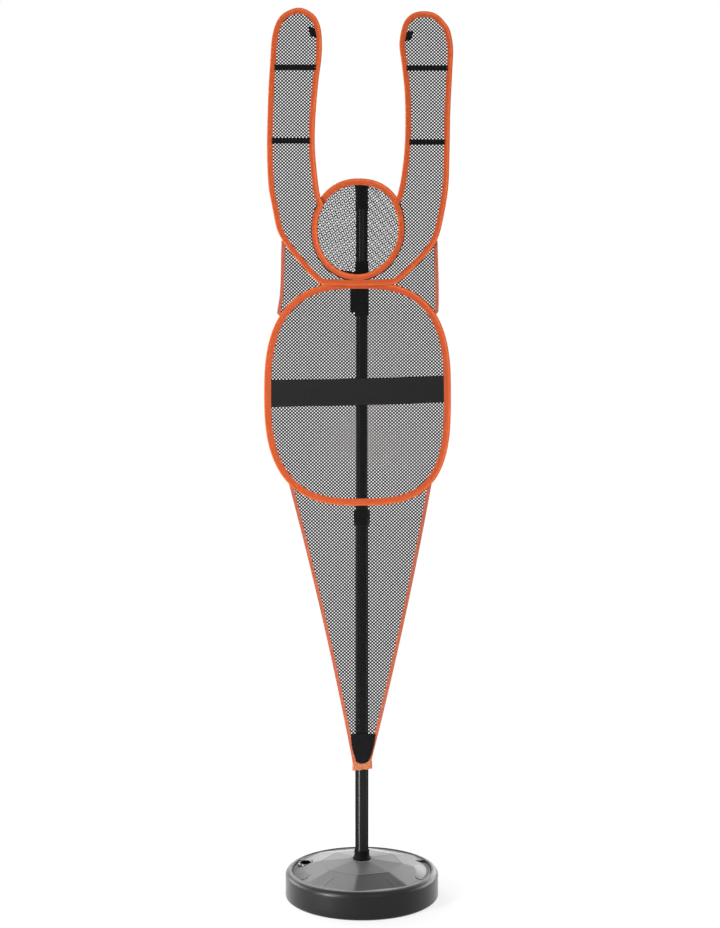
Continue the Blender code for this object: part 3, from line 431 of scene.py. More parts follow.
def finish(name):
    """The named material, made on first use."""
    made = bpy.data.materials.get(name)
    if made:
        return made
    net, tape, fabric = settings("net"), settings("tape"), settings("fabric")
    base, pole = settings("base"), settings("pole")
    # Plastics: colour, roughness, grain, depth, shine and bloom
    # Cloths: colour, warp, weft, depth, roughness, sheen, pucker, shine and legs, the share of painted shade
    # on the flat legs
    makers = {
        "tank_plastic": (moulded_plastic, base.colour, 0.36, 420.0, 0.00006, 0.23, 0.38),
        "collar_plastic": (moulded_plastic, (0.003, 0.003, 0.0034), 0.6, 900.0, 0.00004, 0.04),
        "plug_plastic": (moulded_plastic, (0.002, 0.002, 0.0024), 0.6, 1400.0, 0.00003, 0.0),
        "ring_plastic": (moulded_plastic, (0.03, 0.03, 0.031), 0.16, 1400.0, 0.00001, 0.9),
        "lock_plastic_looks": (moulded_plastic, (0.002, 0.002, 0.0024), 0.45, 1200.0, 0.00003, 0.05),
        "rubber": (moulded_plastic, (0.02, 0.02, 0.02), 0.8, 700.0, 0.00005),
        "tube_paint": (painted_steel, pole.colour, pole.roughness),
        "spring_wire": (bare_steel,),
        "orange_binding": (woven, tape.colour, 0.0009, 0.0011, 0.00022, 0.5, 0.08, 0.0009, 0.3, 0.8),
        "side_binding": (woven, tape.side_colour, 0.0008, 0.0010, 0.00022, 0.62, 0.2, 0.0005),
        "hem_band": (woven, tape.hem_colour, 0.0009, 0.0011, 0.00022, 0.6, 0.2, 0.0014, 0.4),
        "webbing": (woven, fabric.webbing_colour, 0.0014, 0.0022, 0.0003, 0.6, 0.01, 0.0003, 0.06),
        "pocket_cloth": (woven, (0.006, 0.006, 0.007), 0.0007, 0.0007, 0.00015, 0.65, 0.01, 0.0006, 0.06),
        "band_cloth": (woven, fabric.band_colour, 0.0006, 0.0006, 0.00012, 0.6, 0.02, 0.0004, 0.14),
        "patch_cloth": (woven, (0.005, 0.005, 0.0055), 0.0007, 0.0007, 0.00015, 0.6, 0.02, 0.0, 0.06),
        "binding_thread": (thread, tape.thread_colour),
        "black_thread": (thread, (0.008, 0.008, 0.009)),
        "net_knit": (knitted, net.colour),
    }
    maker, *values = makers[name]
    return maker(name, *values)


# Outlines, as (x, z) points that run counterclockwise seen from the front


class Hoop:
    """Middle, half sizes and plane of a hoop, taken from its binding."""

    def __init__(self, binding):
        low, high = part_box(binding)
        self.x, self.plane, self.z = (low + high) / 2
        self.half_width = (high.x - low.x) / 2
        self.half_height = (high.z - low.z) / 2
        self.half_depth = (high.y - low.y) / 2


TORSO = Hoop("torso_binding")
HEAD = Hoop("head_binding")
ARMS = Hoop("arms_binding")


def radius_of(cad_node):
    """Half the width of a node that goes round the pole's axis."""
    low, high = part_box(cad_node)
    return (high.x - low.x) / 2


def polar(radius, angle):
    return radius * math.cos(angle), radius * math.sin(angle)


def superellipse(hoop, exponents, angle, inset=0.0):
    power = 2 / exponents[int((angle % math.tau) // (math.pi / 2))]
    cosine, sine = math.cos(angle), math.sin(angle)
    x = (hoop.half_width - inset) * math.copysign(abs(cosine) ** power, cosine)
    z = (hoop.half_height - inset) * math.copysign(abs(sine) ** power, sine)
    return hoop.x + x, hoop.z + z


def edge_share(offset, half, exponent):
    """Share of a hoop's other half size that is left at an offset from its middle."""
    return max(0.0, 1 - abs(offset / half) ** exponent) ** (1 / exponent)


def line_length(points):
    return sum(math.dist(a, b) for a, b in zip(points, points[1:]))


def spaced(points, step, closed=True):
    """The same line with its points an even step apart."""
    line = list(points) + ([points[0]] if closed else [])
    lengths = [0.0]
    for start, end in zip(line, line[1:]):
        lengths.append(lengths[-1] + math.dist(start, end))
    spans = max(2, round(lengths[-1] / step))
    result, index = [], 0
    for number in range(spans if closed else spans + 1):
        goal = lengths[-1] * number / spans
        while index < len(lengths) - 2 and lengths[index + 1] < goal:
            index += 1
        share = (goal - lengths[index]) / max(lengths[index + 1] - lengths[index], 1e-12)
        result.append(tuple(a + (b - a) * share for a, b in zip(line[index], line[index + 1])))
    return result


def inward(points, closed):
    """Unit direction into the loop at each point."""
    count = len(points)
    result = []
    for index in range(count):
        before = points[index - 1 if closed or index else 0]
        after = points[(index + 1) % count if closed else min(index + 1, count - 1)]
        length = math.dist(before, after)
        result.append((-(after[1] - before[1]) / length, (after[0] - before[0]) / length))
    return result


def inset_loop(points, distance, closed=True):
    directions = inward(points, closed)
    return [(x + distance * nx, z + distance * nz) for (x, z), (nx, nz) in zip(points, directions)]


def curve_through(points, steps, closed=False):
    """Smooth line through a few points."""
    if closed:
        padded = [points[-1], *points, *points[:2]]
    else:
        before = tuple(2 * a - b for a, b in zip(points[0], points[1]))
        after = tuple(2 * a - b for a, b in zip(points[-1], points[-2]))
        padded = [before, *points, after]
    line = []
    for index in range(1, len(padded) - 2):
        around = padded[index - 1:index + 3]
        for part in range(steps):
            t = part / steps
            weights = (
                -0.5 * t + t * t - 0.5 * t ** 3,
                1 - 2.5 * t * t + 1.5 * t ** 3,
                0.5 * t + 2 * t * t - 1.5 * t ** 3,
                -0.5 * t * t + 0.5 * t ** 3,
            )
            line.append(tuple(sum(w * p[axis] for w, p in zip(weights, around)) for axis in (0, 1)))
    return line if closed else line + [points[-1]]


def ring_line(hoop, exponents, step=LINE_STEP):
    return spaced([superellipse(hoop, exponents, math.tau * n / 1440) for n in range(1440)], step)


def arms_line():
    """Outer edge of the arms, whose neck follows the head hoop's inner edge."""
    neck = []
    for index in range(17):
        angle = NECK_START - (math.pi + 2 * NECK_START) * index / 16
        x, z = superellipse(HEAD, HEAD_EXPONENTS, angle, HEAD_BINDING)
        neck.append((x - HEAD.x, z - NECK_Z))
    control = (*ARMS_FOOT, *RIGHT_ARM, *neck, *LEFT_ARM)
    return spaced(curve_through([(HEAD.x + x, NECK_Z + z) for x, z in control], 8, True), LINE_STEP)


def torso_edge_z(x, side):
    """Height of the torso hoop's outer edge at x, side +1 above and -1 below."""
    offset = x - TORSO.x
    upper, lower = (0, 3) if offset > 0 else (1, 2)
    exponent = TORSO_EXPONENTS[upper if side > 0 else lower]
    return TORSO.z + side * TORSO.half_height * edge_share(offset, TORSO.half_width, exponent)


# Meshes


def mesh_of(name, work):
    """New mesh of what was worked on, which is freed."""
    mesh = bpy.data.meshes.new(name)
    work.to_mesh(mesh)
    work.free()
    return mesh


def smooth_mesh(name, work, angle=SHARP):
    mesh = mesh_of(name, work)
    mesh.shade_smooth()
    mesh.set_sharp_from_angle(angle=angle)
    return mesh


def with_modifiers(thing):
    """New mesh of the piece as its modifiers leave it."""
    bpy.context.view_layer.update()
    graph = bpy.context.evaluated_depsgraph_get()
    return bpy.data.meshes.new_from_object(thing.evaluated_get(graph))


def add_object(name, mesh, material=None):
    thing = bpy.data.objects.new(name, mesh)
    bpy.context.scene.collection.objects.link(thing)
    if material:
        mesh.materials.clear()
        mesh.materials.append(finish(material))
    return thing


def placed(thing, body, cad_node):
    """The piece rides on a body and stands for the node that it replaces."""
    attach(thing, body)
    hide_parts(cad_node)
    return thing


def rounded(thing, width, angle):
    rounding = thing.modifiers.new("rounding", "BEVEL")
    rounding.width = width
    rounding.segments = 2
    rounding.limit_method = "ANGLE"
    rounding.angle_limit = angle
    return rounding


def bridged(rings):
    """Work mesh of rings of points joined in order, with both ends closed."""
    work = bmesh.new()
    rows = [[work.verts.new(place) for place in ring] for ring in rings]
    for here, there in zip(rows, rows[1:]):
        for k in range(len(here)):
            m = (k + 1) % len(here)
            work.faces.new((here[k], there[k], there[m], here[m]))
    work.faces.new(rows[0])
    work.faces.new(rows[-1])
    bmesh.ops.recalc_face_normals(work, faces=work.faces)
    return work


def lofted(name, rings, material, closed=False, *, angle):
    """Rings of points joined in order, with a lengthwise map along and around."""
    work = bmesh.new()
    chart = work.loops.layers.uv.new("cloth")
    rings = [[Vector(place) for place in ring] for ring in rings]
    verts = [[work.verts.new(place) for place in ring] for ring in rings]
    count, size = len(rings), len(rings[0])
    middles = [sum(ring, Vector()) / size for ring in rings]
    along = [0.0]
    for index in range(count):
        along.append(along[-1] + (middles[(index + 1) % count] - middles[index]).length)
    around = [0.0]
    for index in range(size):
        around.append(around[-1] + (rings[0][(index + 1) % size] - rings[0][index]).length)
    around = [min(place, around[-1] - place) for place in around]
    for i in range(count if closed else count - 1):
        here, there = verts[i], verts[(i + 1) % count]
        for k in range(size):
            m = (k + 1) % size
            face = work.faces.new((here[k], there[k], there[m], here[m]))
            corners = ((i, k), (i + 1, k), (i + 1, k + 1), (i, k + 1))
            for loop, (a, b) in zip(face.loops, corners):
                loop[chart].uv = (along[a], around[b])
    if not closed:
        for ring in (verts[0], verts[-1]):
            face = work.faces.new(ring)
            for loop, place in zip(face.loops, around):
                loop[chart].uv = (place, 0.0)
    bmesh.ops.recalc_face_normals(work, faces=work.faces)
    return add_object(name, smooth_mesh(name, work, angle), material)


def swept(name, rail, profile, material, closed=True, angle=SHARP):
    """Closed profile (u, v) carried along a rail of (place, side, up)."""
    rings = [[place + side * u + up * v for u, v in profile] for place, side, up in rail]
    return lofted(name, rings, material, closed, angle=angle)


def upright_rail(points, plane, closed=True):
    """Rail along an upright line, its side turned into the loop."""
    return [
        (Vector((x, plane, z)), Vector((nx, 0, nz)), Vector((0, 1, 0)))
        for (x, z), (nx, nz) in zip(points, inward(points, closed))
    ]


def hanging_rail(points, z, closed=True):
    """Rail along a level line of (x, y), its side turned into the loop."""
    return [
        (Vector((x, y, z)), Vector((nx, ny, 0)), Vector((0, 0, 1)))
        for (x, y), (nx, ny) in zip(points, inward(points, closed))
    ]


def turned(name, profile, material, steps=96, centre=(0.0, 0.0)):
    """Closed profile of (radius, z) turned about an upright axis."""
    work = bmesh.new()
    verts = [work.verts.new((radius, 0, z)) for radius, z in profile]
    edges = [work.edges.new((verts[i - 1], verts[i])) for i in range(len(verts))]
    bmesh.ops.spin(
        work, geom=verts + edges, cent=(0, 0, 0), axis=(0, 0, 1), angle=math.tau, steps=steps, use_merge=True)
    bmesh.ops.remove_doubles(work, verts=work.verts, dist=WELD)
    bmesh.ops.dissolve_degenerate(work, edges=work.edges, dist=WELD / 4)
    bmesh.ops.recalc_face_normals(work, faces=work.faces)
    bmesh.ops.translate(work, verts=work.verts, vec=(*centre, 0))
    return add_object(name, smooth_mesh(name, work), material)


def welded_copy(cad_node, name, material, bevel):
    """Fine copy of a hard CAD node, welded, with its edges softly rounded."""
    work = bmesh.new()
    work.from_mesh(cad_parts[cad_node].data)
    bmesh.ops.remove_doubles(work, verts=work.verts, dist=WELD)
    bmesh.ops.dissolve_limit(work, angle_limit=math.radians(1), verts=work.verts, edges=work.edges)
    thing = add_object(name, smooth_mesh(name, work), material)
    rounded(thing, bevel, SHARP).harden_normals = True
    return thing


def edge_loops(lines, closed):
    """Work mesh of bare edges along lines of (x, y, z)."""
    work = bmesh.new()
    for points in lines:
        verts = [work.verts.new(place) for place in points]
        for first, second in zip(verts, verts[1:] + (verts[:1] if closed else [])):
            work.edges.new((first, second))
    return work


def outline_mesh(name, points, plane):
    """Flat filled outline, standing in its plane."""
    work = edge_loops([[(x, plane, z) for x, z in points]], True)
    bmesh.ops.triangle_fill(work, use_beauty=True, edges=work.edges, normal=(0, -1, 0))
    return mesh_of(name, work)


# Node trees


def tree_with(name, inputs):
    """Empty geometry tree with a first geometry input and the named ones after it."""
    tree = bpy.data.node_groups.new(name, "GeometryNodeTree")
    tree.is_modifier = True
    tree.interface.new_socket(name="Geometry", in_out="INPUT", socket_type="NodeSocketGeometry")
    for label, kind in inputs:
        tree.interface.new_socket(name=label, in_out="INPUT", socket_type="NodeSocket" + kind)
    tree.interface.new_socket(name="Geometry", in_out="OUTPUT", socket_type="NodeSocketGeometry")
    return tree, node(tree, "NodeGroupInput").outputs


def close_tree(tree, geometry, material):
    """Ends a tree with real geometry in the given material."""
    real = node(tree, "GeometryNodeRealizeInstances", {"Geometry": geometry}).outputs[0]
    dressed = node(tree, "GeometryNodeSetMaterial", {"Geometry": real, "Material": material}).outputs[0]
    node(tree, "NodeGroupOutput", {"Geometry": dressed})
    return tree


def joined(tree, *parts):
    joint = tree.nodes.new("GeometryNodeJoinGeometry")
    for part in parts:
        tree.links.new(part, joint.inputs[0])
    return joint.outputs[0]


def net_tree():
    """Fills a flat outline with staggered pore cells and gives the net its thickness."""
    made = bpy.data.node_groups.get("net_pores")
    if made:
        return made
    tree, given = tree_with("net_pores", (
        ("Cell", "Object"), ("Middle", "Vector"), ("Columns", "Int"), ("Rows", "Int"),
        ("Pitch X", "Float"), ("Pitch Z", "Float"), ("Thickness", "Float"), ("Material", "Material"),
    ))
    width, height = (
        maths(tree, "MULTIPLY", maths(tree, "SUBTRACT", given[count], 1.0), given[pitch])
        for count, pitch in (("Columns", "Pitch X"), ("Rows", "Pitch Z")))
    grid = node(tree, "GeometryNodeMeshGrid", {
        "Size X": width, "Size Y": height, "Vertices X": given["Columns"], "Vertices Y": given["Rows"]})
    upright = node(tree, "GeometryNodeTransform", {
        "Geometry": grid.outputs["Mesh"], "Translation": given["Middle"], "Rotation": (math.pi / 2, 0, 0)})
    step_x, step_z = (maths(tree, "MULTIPLY", given[pitch], 0.5) for pitch in ("Pitch X", "Pitch Z"))
    step = node(tree, "ShaderNodeCombineXYZ", {"X": step_x, "Z": step_z}).outputs[0]
    between = node(tree, "GeometryNodeTransform", {"Geometry": upright.outputs[0], "Translation": step})
    lattice = joined(tree, upright.outputs[0], between.outputs[0])

    # A cell stays where a ray from in front of the net meets the outline
    place = node(tree, "GeometryNodeInputPosition").outputs[0]
    start = node(tree, "ShaderNodeVectorMath", {0: place, 1: (0, -0.05, 0)}, operation="ADD").outputs[0]
    ray = node(tree, "GeometryNodeRaycast", {
        "Target Geometry": given["Geometry"], "Source Position": start,
        "Ray Direction": (0, 1, 0), "Ray Length": 0.1})
    outside = node(tree, "FunctionNodeBooleanMath", {0: ray.outputs["Is Hit"]}, operation="NOT").outputs[0]
    kept = node(tree, "GeometryNodeDeleteGeometry", {"Geometry": lattice, "Selection": outside}).outputs[0]

    cell = node(tree, "GeometryNodeObjectInfo", {"Object": given["Cell"]}).outputs["Geometry"]
    cells = node(tree, "GeometryNodeInstanceOnPoints", {"Points": kept, "Instance": cell}).outputs[0]
    flat = node(tree, "GeometryNodeRealizeInstances", {"Geometry": cells}).outputs[0]
    flat = node(tree, "GeometryNodeMergeByDistance", {"Geometry": flat, "Distance": WELD}).outputs[0]
    depth = node(tree, "ShaderNodeCombineXYZ", {"Y": given["Thickness"]}).outputs[0]
    front = node(tree, "GeometryNodeExtrudeMesh", {
        "Mesh": flat, "Offset": depth, "Offset Scale": 1.0, "Individual": False}, mode="FACES").outputs[0]
    back = node(tree, "GeometryNodeFlipFaces", {"Mesh": flat}).outputs[0]
    whole = joined(tree, front, back)
    whole = node(tree, "GeometryNodeMergeByDistance", {"Geometry": whole, "Distance": WELD}).outputs[0]
    return close_tree(tree, whole, given["Material"])


def row_tree():
    """Sets a stitch or rib at even steps along a line, turned to follow it."""
    made = bpy.data.node_groups.get("stitch_row")
    if made:
        return made
    tree, given = tree_with("stitch_row", (("Stitch", "Object"), ("Step", "Float"), ("Material", "Material")))
    line = node(tree, "GeometryNodeMeshToCurve", {"Mesh": given["Geometry"]}).outputs[0]
    even = node(tree, "GeometryNodeResampleCurve", {"Curve": line, "Length": given["Step"]}, mode="LENGTH")
    tangent = node(tree, "GeometryNodeInputTangent").outputs[0]
    turn = node(tree, "FunctionNodeAlignRotationToVector", {"Vector": tangent}, axis="X").outputs[0]
    stitch = node(tree, "GeometryNodeObjectInfo", {"Object": given["Stitch"]}).outputs["Geometry"]
    row = node(tree, "GeometryNodeInstanceOnPoints", {
        "Points": even.outputs[0], "Instance": stitch, "Rotation": turn}).outputs[0]
    return close_tree(tree, row, given["Material"])


def tree_mesh(name, mesh, tree, values):
    """Plain mesh that a tree makes of the given one."""
    source = add_object(name, mesh)
    modifier = source.modifiers.new(tree.name, "NODES")
    modifier.node_group = tree
    for item in tree.interface.items_tree:
        if item.in_out == "INPUT" and item.name in values:
            modifier[item.identifier] = values[item.name]
    result = with_modifiers(source)
    source.modifiers.remove(modifier)
    bpy.data.objects.remove(source)
    if not result.polygons:
        raise RuntimeError(name + ": the tree made nothing")
    return result


def pore_cell(pore):
    """One diamond of net round an eight-sided pore, in the XZ plane."""
    net = settings("net")
    half = (net.pitch_x / 2, net.pitch_z / 2)
    # The eight-sided pore has the round pore's area
    radius = pore * math.sqrt(math.pi / (2 * math.sqrt(2)))
    work = bmesh.new()
    turns = [math.tau * n / 8 for n in range(8)]
    rim = [work.verts.new((radius * math.cos(a), 0, radius * math.sin(a))) for a in turns]
    corners = [work.verts.new((half[0] * x, 0, half[1] * z)) for x, z in ((1, 0), (0, 1), (-1, 0), (0, -1))]
    for index in range(4):
        first, second = corners[index], corners[(index + 1) % 4]
        start, middle, end = (rim[(2 * index + step) % 8] for step in range(3))
        for face in ((first, middle, second), (first, start, middle), (second, middle, end)):
            work.faces.new(face)
    bmesh.ops.recalc_face_normals(work, faces=work.faces)
    work.faces.ensure_lookup_table()
    if work.faces[0].normal.y < 0:
        bmesh.ops.reverse_faces(work, faces=work.faces)
    return add_object("pore_cell", mesh_of("pore_cell", work))


def net_mesh(name, points, plane, pore=None):
    """Perforated net inside a flat outline, centred on its plane."""
    net = settings("net")
    xs, zs = zip(*points)
    columns = int((max(xs) - min(xs)) / net.pitch_x) + 4
    rows = int((max(zs) - min(zs)) / net.pitch_z) + 4
    middle = ((max(xs) + min(xs)) / 2, plane - net.thickness / 2, (max(zs) + min(zs)) / 2)
    cell = pore_cell(pore or net.pore)
    mesh = tree_mesh(name, outline_mesh(name, points, plane), net_tree(), {
        "Cell": cell, "Middle": middle, "Columns": columns, "Rows": rows, "Pitch X": net.pitch_x,
        "Pitch Z": net.pitch_z, "Thickness": net.thickness, "Material": finish("net_knit")})
    bpy.data.objects.remove(cell)
    mesh.name = name
    mesh.shade_smooth()
    return mesh


def stitch_shape(length, radius):
    """One short stitch along X that rises from the cloth and dips at both ends."""
    depth = radius * 0.8
    rings = []
    for share in (-1.0, -0.72, 0.0, 0.72, 1.0):
        size = radius * (1 - 0.75 * share ** 4)
        lift = depth * (1 - share * share) - depth * 0.6
        turns = [math.tau * corner / 6 for corner in range(6)]
        rings.append([(share * length / 2, -lift - size * math.sin(a), size * math.cos(a)) for a in turns])
    return add_object("stitch_shape", smooth_mesh("stitch_shape", bridged(rings), math.pi))


def stitched(name, lines, material, radius=0.0003, length=0.0027, closed=True, step=None):
    """Rows of stitches along lines of (x, y, z), as one piece."""
    stitch = stitch_shape(length, radius)
    result = tree_mesh(name, mesh_of(name, edge_loops(lines, closed)), row_tree(), {
        "Stitch": stitch, "Step": step or settings("tape").stitch, "Material": finish(material)})
    bpy.data.objects.remove(stitch)
    result.name = name
    return add_object(name, result)


# Base


def ridge(offset, spread):
    """Soft ridge of height 1 at offset 0."""
    return math.exp(-(offset / spread) ** 2)


def crown_height(x, y):
    """Height of the tank's top: an eight-sided crown, two sunk sides and two ribs."""
    base = settings("base")
    distance, angle = math.hypot(x, y), math.atan2(y, x)
    spread = []
    for side in range(8):
        facing = CROWN_TURN + math.radians(22.5 + 45 * side)
        spread.append(distance * math.cos(angle - facing) / math.cos(math.radians(22.5)))
    widest, soft = max(spread), base.ridge_softness
    reach = widest + soft * math.log(sum(math.exp((s - widest) / soft) for s in spread)) - soft * 0.2
    z = CROWN[0][1]
    for (inner, high), (outer, low) in zip(CROWN, CROWN[1:]):
        if reach > inner:
            z = high + (low - high) * (min(reach, outer) - inner) / (outer - inner)
    z += base.lip_height * ridge(reach - CROWN[1][0], LIP_SPREAD)
    for first, last in POCKET_ENDS:
        half = (last - first) / 2
        beside = distance * (half - abs(math.remainder(angle - first - half, math.tau)))
        sunk = max(0.0, min(1.0, beside / POCKET_EDGE + 0.5))
        hollow = POCKET_Z + POCKET_SLOPE * max(0.0, POCKET_RADIUS - distance)
        z += (min(z, hollow) - z) * sunk
        z -= POCKET_GROOVE * sunk * ridge(distance - CROWN[2][0] + GROOVE_INSET, GROOVE_SPREAD)
        if distance > END_GROOVE_START:
            z -= END_GROOVE * ridge(beside + END_GROOVE_INSET, GROOVE_SPREAD)
    for rib in RIBS:
        along, across = polar(distance, angle - rib)
        if RIB_REACH[0] < along < RIB_REACH[1]:
            z += base.rib_height * ridge(across, RIB_SPREAD)
    return z


def tank_angles():
    """Even directions round the tank, with close pairs at the sunk sides' ends and the ribs."""
    steps = 8 * settings("base").steps
    angles = [math.tau * n / steps + CROWN_TURN for n in range(steps)]
    sharp = [(edge, END_WIDTHS) for pair in POCKET_ENDS for edge in pair]
    sharp += [(rib, RIB_WIDTHS) for rib in RIBS]
    for middle, widths in sharp:
        for width in widths:
            angles += [middle - width, middle + width] if width else [middle]
    return sorted(angle % math.tau for angle in angles)


def tank_rings():
    """Rings from the middle of the underside out, up the wall and in over the crown."""
    radius, (land, rim) = radius_of("base_tank"), CROWN[2]
    rim += 0.0015
    well = radius_of("pole_socket") - 0.003
    angles = tank_angles()
    foot, corner = 0.006, 0.013
    profile = [(0.0005, 0.0012), (0.120, 0.0012), (0.150, 0.0012), (0.1515, 0.0), (radius - foot, 0.0)]
    for a in (0.4, 0.8, 1.2, 1.57):
        profile.append((radius - foot + foot * math.sin(a), foot - foot * math.cos(a)))
    profile += [(radius - 0.0004, 0.020), (radius, 0.032), (radius - 0.0003, 0.044)]
    for part in range(9):
        out, up = polar(corner, math.pi / 2 * part / 8)
        profile.append((radius - corner + out, rim - corner + up))
    profile += [(land + 0.0014, rim + 0.0001), (land + 0.0008, rim - 0.0003), (land + 0.0002, rim - 0.0012)]
    rings = [[(*polar(r, a), z) for a in angles] for r, z in profile]
    r = land
    while r > well:
        rings.append([(x, y, crown_height(x, y)) for x, y in (polar(r, a) for a in angles)])
        r -= CROWN_STEP
    rings.append([(*polar(well, a), WELL_Z) for a in angles])
    return rings


def carved(thing, cutter):
    """Takes the cutter's form out of the piece."""
    modifier = thing.modifiers.new("carve", "BOOLEAN")
    modifier.operation = "DIFFERENCE"
    modifier.object = cutter
    whole = thing.data
    thing.data = with_modifiers(thing)
    thing.modifiers.remove(modifier)
    bpy.data.meshes.remove(whole)
    bpy.data.objects.remove(cutter)
    thing.data.name = thing.name
    thing.data.set_sharp_from_angle(angle=TANK_SHARP)


def build_base():
    tank = lofted("tank", tank_rings(), "tank_plastic", angle=TANK_SHARP)
    low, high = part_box("fill_cap")
    middle = ((low.x + high.x) / 2, (low.y + high.y) / 2)
    hole = [(0.0001, SEAT_Z - 0.0004), (0.0192, SEAT_Z - 0.0004), (0.0192, 0.0900), (0.0001, 0.0900)]
    carved(tank, turned("fill_cut", hole, "tank_plastic", 96, middle))
    placed(tank, "base", "base_tank")

    rounds = (
        ("fill_ring", 72, "ring_plastic", "base", "black_hdpe", "base_tank", [
            (0.0148, 0.0640), (0.0148, 0.0676), (0.0152, 0.0685), (0.0160, 0.0690), (0.0172, 0.0690),
            (0.0182, 0.0686), (0.0188, 0.0677), (0.0190, 0.0667), (0.0190, SEAT_Z), (0.0148, SEAT_Z),
        ]),
        ("fill_seat", 48, "collar_plastic", "base", "black_hdpe", "base_tank", [
            (0.0098, SEAT_Z), (0.0098, 0.0638), (0.0147, 0.0638), (0.0147, SEAT_Z),
        ]),
        ("seal_washer", 48, "rubber", "fill_seal", "seal_rubber", "fill_cap_seal", [
            (0.0099, 0.0643), (0.0099, 0.0654), (0.0102, 0.0655), (0.0112, 0.0655), (0.0115, 0.0652),
            (0.0115, 0.0643),
        ]),
    )
    for name, steps, material, body, slot, cad_node, profile in rounds:
        placed(turned(name, profile, material, steps, middle), body, cad_node)
    build_fill_cap(middle, low.z, high.z)

    bore, outer = radius_of("lower_tube") + PLAY, radius_of("pole_socket")
    foot, top, floor = 0.0863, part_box("pole_socket")[1].z, 0.0330
    socket = turned("socket_collar", [
        (bore, floor), (bore, top - 0.0006), (bore + 0.0003, top), (bore + 0.0014, top),
        (bore + 0.0019, top - 0.0006), (bore + 0.0020, foot + 0.012), (bore + 0.0024, foot + 0.0085),
        (bore + 0.0035, foot + 0.0052), (outer - 0.0003, foot + 0.0030), (outer, foot + 0.0022),
        (outer, foot + 0.0002), (outer - 0.0005, foot), (bore + 0.0024, foot),
        (bore + 0.0024, floor - 0.0027), (0.0, floor - 0.0027), (0.0, floor),
    ], "collar_plastic")
    placed(socket, "base", "pole_socket")


def build_fill_cap(middle, bottom, top):
    """Screw plug with a notched edge and a grip bar across its sunk head."""
    steps, notch = 144, 0.0004
    sections = [
        (0.0001, bottom), (0.0085, bottom), (0.0095, bottom + 0.001), (0.0095, top - 0.005),
        (0.0112, top - 0.005), (0.0115, top - 0.0044), (0.0115, top - 0.0014), (0.0112, top - 0.0005),
        (0.0105, top), (0.0085, top), (0.0080, top - 0.0004), (0.0020, top - 0.0004),
        (0.0001, top - 0.0004),
    ]
    rings = []
    for number, (radius, z) in enumerate(sections):
        ring = []
        for index in range(steps):
            notched = 5 <= number <= 7 and index % 6 in (0, 1)
            x, y = polar(radius - (notch if notched else 0.0), math.tau * index / steps)
            ring.append((middle[0] + x, middle[1] + y, z))
        rings.append(ring)
    cap = lofted("fill_plug", rings, "plug_plastic", angle=math.radians(30))
    bar = swept("fill_plug_grip", [
        (Vector((middle[0] + x, middle[1], top - 0.0012)), Vector((0, 1, 0)), Vector((0, 0, 1)))
        for x in (-0.0072, -0.0068, 0.0068, 0.0072)
    ], [(-0.0012, 0), (0.0012, 0), (0.0009, 0.0012), (-0.0009, 0.0012)], "plug_plastic", False)
    for thing in (cap, bar):
        placed(thing, "fill_cap", "fill_cap")


# Pole


def build_pole():
    for cad_node, body in (("lower_tube", "lower_pole"), ("upper_tube", "upper_pole")):
        low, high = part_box(cad_node)
        outer = radius_of(cad_node)
        inner, rim = outer - TUBE_WALL, 0.0003
        tube = turned(cad_node.replace("tube", "pole_tube"), [
            (inner, low.z + rim), (inner, high.z - rim), (inner + rim, high.z), (outer - rim, high.z),
            (outer, high.z - rim), (outer, low.z + rim), (outer - rim, low.z), (inner + rim, low.z),
        ], "tube_paint")
        placed(tube, body, cad_node)
    for cad_node, body in (
            ("lock_body", "lower_pole"), ("upper_tube_plug", "upper_pole"), ("top_cap", "upper_pole")):
        thing = welded_copy(cad_node, cad_node + "_moulding", "lock_plastic_looks", 0.0003)
        placed(thing, body, cad_node)

    low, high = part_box("lock_nut")
    bore, skin = radius_of("upper_tube") + PLAY, radius_of("lock_nut") - GRIP_RISE
    sleeve = radius_of("lock_body") - 0.0008 + PLAY
    nut = turned("lock_sleeve", [
        (bore, high.z - 0.0004), (bore + 0.0004, high.z), (skin - 0.0024, high.z),
        (skin - 0.0012, high.z - 0.0008), (skin - 0.0004, high.z - 0.0030), (skin, high.z - 0.0060),
        (skin, low.z + 0.0070), (skin + 0.0006, low.z + 0.0062),
        (skin + GRIP_RISE, low.z + 0.0050), (skin + GRIP_RISE, low.z + 0.0008),
        (skin + 0.0005, low.z), (sleeve + 0.0002, low.z), (sleeve, low.z + 0.0003), (sleeve, high.z - 0.0030),
        (sleeve - 0.0003, high.z - 0.0027), (bore, high.z - 0.0027),
    ], "lock_plastic_looks")
    placed(nut, "lock", "lock_nut")
    build_lock_ribs(low.z + 0.0085, high.z - 0.0050, skin)


def build_lock_ribs(bottom, top, radius):
    """Grip ribs round the lock, set by the same tree that sets the stitches."""
    grips = settings("pole").grips
    half = (top - bottom) / 2
    rings = []
    ends = [(half, 0.2), (half - 0.0006, 0.8), (half - 0.0018, 1.0)]
    for z, share in [(-z, share) for z, share in ends] + ends[::-1]:
        wide, narrow, rise = 0.0010 * share, 0.0004 * share, GRIP_RISE * share
        right = [(0.0011, -0.0012), (wide, narrow), (narrow, rise)]
        left = [(-x, y) for x, y in reversed(right)]
        rings.append([(x, -y, z) for x, y in right + left])
    rib = add_object("lock_rib", smooth_mesh("lock_rib", bridged(rings)))
    places = [(*polar(radius, math.tau * n / grips), (bottom + top) / 2) for n in range(grips)]
    chord = 2 * radius * math.sin(math.pi / grips)
    mesh = tree_mesh("lock_ribs", mesh_of("lock_ribs", edge_loops([places], True)), row_tree(), {
        "Stitch": rib, "Step": chord, "Material": finish("lock_plastic_looks")})
    bpy.data.objects.remove(rib)
    placed(add_object("lock_ribs", mesh), "lock", "lock_nut")


# Hoops


